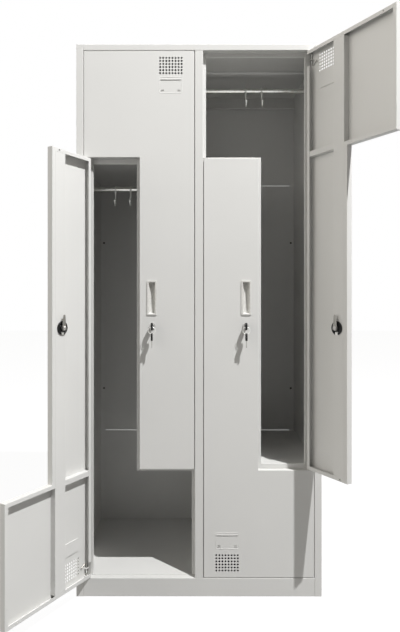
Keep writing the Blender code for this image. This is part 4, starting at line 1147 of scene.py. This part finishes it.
class ZLOCKER_OT_fit_keys(bpy.types.Operator):
    """Makes the key in each lock and the spare key that hangs from it on a ring"""

    bl_idname = "zlocker.fit_keys"
    bl_label = "Fit the keys"

    def execute(self, context):
        radius, wire, hole_radius, play, bow_gap = 0.012, 0.0007, 0.003, 0.0008, 0.002
        turns, wire_sides, cad_corner = 64, 12, math.pi / 12
        inner = radius * math.cos(cad_corner)
        rest = hole_radius - wire - play
        bow_v = PLUG_FRONT - bow_gap - BOW_HALF
        ring_v = bow_v + KEY_HOLE
        drop = rest + 2 * inner + hole_radius - wire + wire / 4 - KEY_HOLE
        points = [(a, ring_v, b) for a, b in circle((0, -rest - inner), inner, turns)]
        ring = tube(points, [wire] * turns, wire_sides, closed=True)
        for door in DOORS:

            def in_lock(x, along, across):
                return door.side * x, bow_v + along, across

            def hanging(x, along, across):
                return door.side * x, ring_v + across, -drop - along

            for kind, place, part in (("key", in_lock, "lock"), ("spare_key", hanging, "spare")):
                self.bow(door, kind, place, part)
                self.blade(door, kind, place, part)
            obj = make_object(f"{door.name}_key_ring", [ring])
            door.fit_on_lock(obj, "wire_zinc", "spare")
        return {"FINISHED"}

    def bow(self, door, kind, place, part):
        """The rounded black grip with its hole and a sunk pad on each side."""
        half, sink, edge, sides = 0.0028, 0.00035, 0.0006, 32
        mouth, throat, throat_share = 0.0046, 0.0034, 0.3
        outline = rounded_rectangle(width=2 * BOW_HALF, height=0.023, corner=0.007, steps=8)
        pad = rounded_rectangle(
            width=0.0105, height=0.015, corner=0.003, steps=6, shift=(0.0035, 0)
        )
        pads = [
            plate(pad, half - sink, half + SEAT_GAP, "X"),
            plate(pad, -half - SEAT_GAP, sink - half, "X"),
        ]
        eyelet = [
            [(x, a, b) for a, b in circle((KEY_HOLE, 0), radius, sides)]
            for x, radius in (
                (-half - SEAT_GAP, mouth),
                (-half * throat_share, throat),
                (half * throat_share, throat),
                (half + SEAT_GAP, mouth),
            )
        ]
        obj = make_object(f"{door.name}_{kind}_bow", [plate(outline, -half, half, "X")], place)
        combine(obj, "DIFFERENCE", [(eyelet, False)], place)
        combine(obj, "DIFFERENCE", pads, place)
        round_edges(obj, edge, segments=3)
        door.fit_on_lock(obj, "black_moulding", part, [f"{door.name}_{kind}"])

    def blade(self, door, kind, place, part):
        """The steel blade, cut on one edge and grooved on both sides."""
        root, length, half_height, half_thick = BOW_HALF, 0.022, 0.00375, 0.001
        sunk, nose, nose_top, groove_in, groove_out = 0.003, 0.003, 0.0025, 0.0005, 0.0015
        tip = root + length
        # Share of the blade's length from its root, and of its half height
        bitting = [
            (0.88, 0.8),
            (0.82, 0.8),
            (0.76, 1.0),
            (0.68, 0.7),
            (0.6, 0.7),
            (0.54, 0.9),
            (0.46, 0.62),
            (0.38, 0.62),
            (0.3, 1.0),
        ]
        outline = [
            (root - sunk, -half_height),
            (tip - nose, -half_height),
            (tip, -0.0002),
            (tip - nose_top, half_height * 0.9),
            *((root + length * a, half_height * b) for a, b in bitting),
            (root - sunk, half_height),
        ]
        along = (root + 0.001, tip)
        grooves = [
            block(along, (-0.0009, 0.0003), groove_in, groove_out, "X"),
            block(along, (0.0006, 0.0014), -groove_out, -groove_in, "X"),
        ]
        solid = plate(outline, -half_thick, half_thick, "X")
        obj = make_object(f"{door.name}_{kind}_blade", [solid], place)
        combine(obj, "DIFFERENCE", grooves, place)
        door.fit_on_lock(obj, "stamped_steel", part)


class ZLOCKER_OT_fit_hinge_pins(bpy.types.Operator):
    """Bends each spring hinge pin with its lever, and winds the spring on it"""

    bl_idname = "zlocker.fit_hinge_pins"
    bl_label = "Fit the hinge pins"

    def execute(self, context):
        start, end, seat, slide = 0.0082, 0.0286, 0.029, 0.011
        lever = self.lever()
        coil = self.coil(start, end, context.scene.z_locker.metal.spring_turns)
        for door in DOORS:
            obj = door.make("pin_lever", [lever])
            door.fit(obj, "stamped_steel", [f"{door.name}_hinge_pin"], part="pin")
            spring = door.make("pin_spring", [coil])
            door.fit(spring, "wire_zinc")
            anchor = door.matrix @ Vector(door.place(PIVOT_U, PIVOT_V, seat))
            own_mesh(spring)
        return {"FINISHED"}

    def lever(self):
        """The pin from its tip past its collar, and bent over into the lever."""
        radius, collar, collar_start, collar_end, edge = 0.002, 0.0027, 0.0053, 0.0078, 0.0001
        length, reach, drop, bend, steps, sides = 0.046, 0.024, 0.009, 0.006, 10, 20
        stations = [
            (PIVOT_U, -0.009, radius - 0.0007),
            (PIVOT_U, -0.0088, radius - 0.0003),
            (PIVOT_U, -0.0084, radius),
            (PIVOT_U, collar_start, radius),
            (PIVOT_U, collar_start + edge, collar),
            (PIVOT_U, collar_end - edge, collar),
            (PIVOT_U, collar_end, radius),
        ]
        centre, lean = (PIVOT_U + bend, length - bend), math.atan2(reach, drop)
        stations += [(u, w, radius) for u, w in arc(centre, bend, math.pi, lean, steps)]
        end_u, end_w = PIVOT_U + reach, length - drop
        stations += [(end_u, end_w, radius), (end_u + 0.0004, end_w - 0.0002, radius - 0.0005)]
        points = [(u, PIVOT_V, w) for u, w, _ in stations]
        return tube(points, [r for _, _, r in stations], sides)

    def coil(self, start, end, turns):
        radius, wire, steps, sides = 0.00255, 0.0003, 14, 8
        count = turns * steps
        points = []
        for k in range(count + 1):
            angle = 2 * math.pi * k / steps
            u, v = PIVOT_U + radius * math.cos(angle), PIVOT_V + radius * math.sin(angle)
            points.append((u, v, start + (end - start) * k / count))
        return tube(points, [wire] * len(points), sides)


class ZLOCKER_OT_set_stage(bpy.types.Operator):
    """Sets the white floor, the lights and the camera"""

    bl_idname = "zlocker.set_stage"
    bl_label = "Set the stage"

    def execute(self, context):
        stage = context.scene.z_locker.stage
        context.scene.view_settings.view_transform = "Standard"
        self.floor(stage)
        self.world(context, stage)
        self.key(context, stage)
        self.camera(context, stage)
        return {"FINISHED"}

    def seen_directly(self, owner):
        """1 for rays from the camera, a mirror or glass, and 0 for light on the object."""
        path = add_node(owner, "ShaderNodeLightPath")
        seen = path.outputs["Is Camera Ray"]
        for name in ("Is Glossy Ray", "Is Transmission Ray"):
            seen = calculate(owner, "MAXIMUM", seen, path.outputs[name])
        return seen

    def floor(self, stage):
        """A floor that looks white with a faint shadow, and lights the object as a grey one."""
        half, bottom, top = stage.floor_size / 2, -0.02, -0.0005
        bounce_colour, pale_colour = (*[stage.floor_bounce] * 3, 1), (0.9, 0.9, 0.9, 1)
        floor = make_object("floor", [block((-half, half), (-half, half), bottom, top, "Z")])
        material = bpy.data.materials.new("floor_white")
        material.use_nodes = True
        tree = material.node_tree
        tree.nodes.remove(tree.nodes["Principled BSDF"])
        bounce = add_node(material, "ShaderNodeBsdfDiffuse", {"Color": bounce_colour})
        pale = add_node(material, "ShaderNodeBsdfDiffuse", {"Color": pale_colour})
        white = add_node(material, "ShaderNodeEmission", {"Strength": stage.floor_white})
        inputs = {0: stage.floor_shadow, 1: white.outputs[0], 2: pale.outputs[0]}
        shown = add_node(material, "ShaderNodeMixShader", inputs)
        inputs = {0: self.seen_directly(material), 1: bounce.outputs[0], 2: shown.outputs[0]}
        both = add_node(material, "ShaderNodeMixShader", inputs)
        tree.links.new(both.outputs[0], tree.nodes["Material Output"].inputs["Surface"])
        floor.data.materials.append(material)

    def world(self, context, stage):
        """Soft light from the left and the right, and a plain white background."""
        world = bpy.data.worlds.new("studio")
        context.scene.world = world
        world.use_nodes = True
        direction = add_node(world, "ShaderNodeTexCoord").outputs["Generated"]
        across = add_node(world, "ShaderNodeSeparateXYZ", {0: direction}).outputs["X"]
        sides = []
        for end, power in ((-1, stage.sky_left), (1, stage.sky_right)):
            side = spread(world, across, 0.0, 1.0, end=end)
            narrow = calculate(world, "POWER", side, stage.sky_focus)
            sides.append(calculate(world, "MULTIPLY", narrow, power))
        soft = calculate(world, "ADD", *sides)
        seen = self.seen_directly(world)
        tint = blend_colours(world, seen, tuple(stage.sky_colour), (1, 1, 1))
        strength = spread(world, seen, soft, 1.0)
        light = world.node_tree.nodes["Background"]
        world.node_tree.links.new(tint, light.inputs["Color"])
        world.node_tree.links.new(strength, light.inputs["Strength"])

    def key(self, context, stage):
        lamp = bpy.data.lights.new("key", "AREA")
        lamp.shape = "DISK"
        lamp.size = stage.key_size
        lamp.energy = stage.key_power
        obj = bpy.data.objects.new("key", lamp)
        context.scene.collection.objects.link(obj)
        obj.location = stage.key_place
        direction = obj.location - (cad_low + cad_high) / 2
        obj.rotation_euler = direction.to_track_quat("Z", "Y").to_euler()

    def camera(self, context, stage):
        """A level camera; the axis is its vanishing point in the picture, in pixels."""
        width, height, axis_x, axis_y, turn = 400, 632, 190.5, 297.9, math.radians(0.08)
        data = bpy.data.cameras.new("camera")
        data.sensor_fit = "VERTICAL"
        data.sensor_height = 24.0
        data.lens = stage.camera_focal * data.sensor_height / height
        data.shift_x = (width / 2 - axis_x) / height
        data.shift_y = (axis_y - height / 2) / height
        data.clip_start, data.clip_end = 0.01, 100.0
        camera = bpy.data.objects.new("camera", data)
        context.scene.collection.objects.link(camera)
        camera.location = stage.camera_place
        camera.rotation_euler = (math.pi / 2, 0, turn)
        context.scene.camera = camera


class ZLOCKER_PT_panel(bpy.types.Panel):
    """Lists the locker's settings and its steps"""

    bl_idname = "ZLOCKER_PT_panel"
    bl_label = "Z locker"
    bl_space_type = "VIEW_3D"
    bl_region_type = "UI"
    bl_category = "Z locker"

    def draw(self, context):
        locker = context.scene.z_locker
        for name in ("paint", "metal", "plastic", "doors", "stage"):
            group = getattr(locker, name)
            box = self.layout.box()
            box.label(text=name.title())
            for key in group.__annotations__:
                box.prop(group, key)
        for step in STEPS:
            self.layout.operator(step.bl_idname)


SETTINGS = (
    PaintSettings,
    MetalSettings,
    PlasticSettings,
    DoorSettings,
    StageSettings,
    LockerSettings,
)
STEPS = (
    ZLOCKER_OT_paint_cabinet,
    ZLOCKER_OT_fit_rivets,
    ZLOCKER_OT_fit_back_rails,
    ZLOCKER_OT_fit_rods,
    ZLOCKER_OT_fit_hooks,
    ZLOCKER_OT_press_doors,
    ZLOCKER_OT_fit_handles,
    ZLOCKER_OT_fit_locks,
    ZLOCKER_OT_fit_keys,
    ZLOCKER_OT_fit_hinge_pins,
    ZLOCKER_OT_set_stage,
)


def register():
    for cls in (*SETTINGS, *STEPS, ZLOCKER_PT_panel):
        bpy.utils.register_class(cls)
    bpy.types.Scene.z_locker = PointerProperty(type=LockerSettings)


def unregister():
    del bpy.types.Scene.z_locker
    for cls in reversed((*SETTINGS, *STEPS, ZLOCKER_PT_panel)):
        bpy.utils.unregister_class(cls)


def main():
    register()
    for step in STEPS:
        group, name = step.bl_idname.split(".")
        getattr(getattr(bpy.ops, group), name)()


if __name__ == "__main__":
    main()
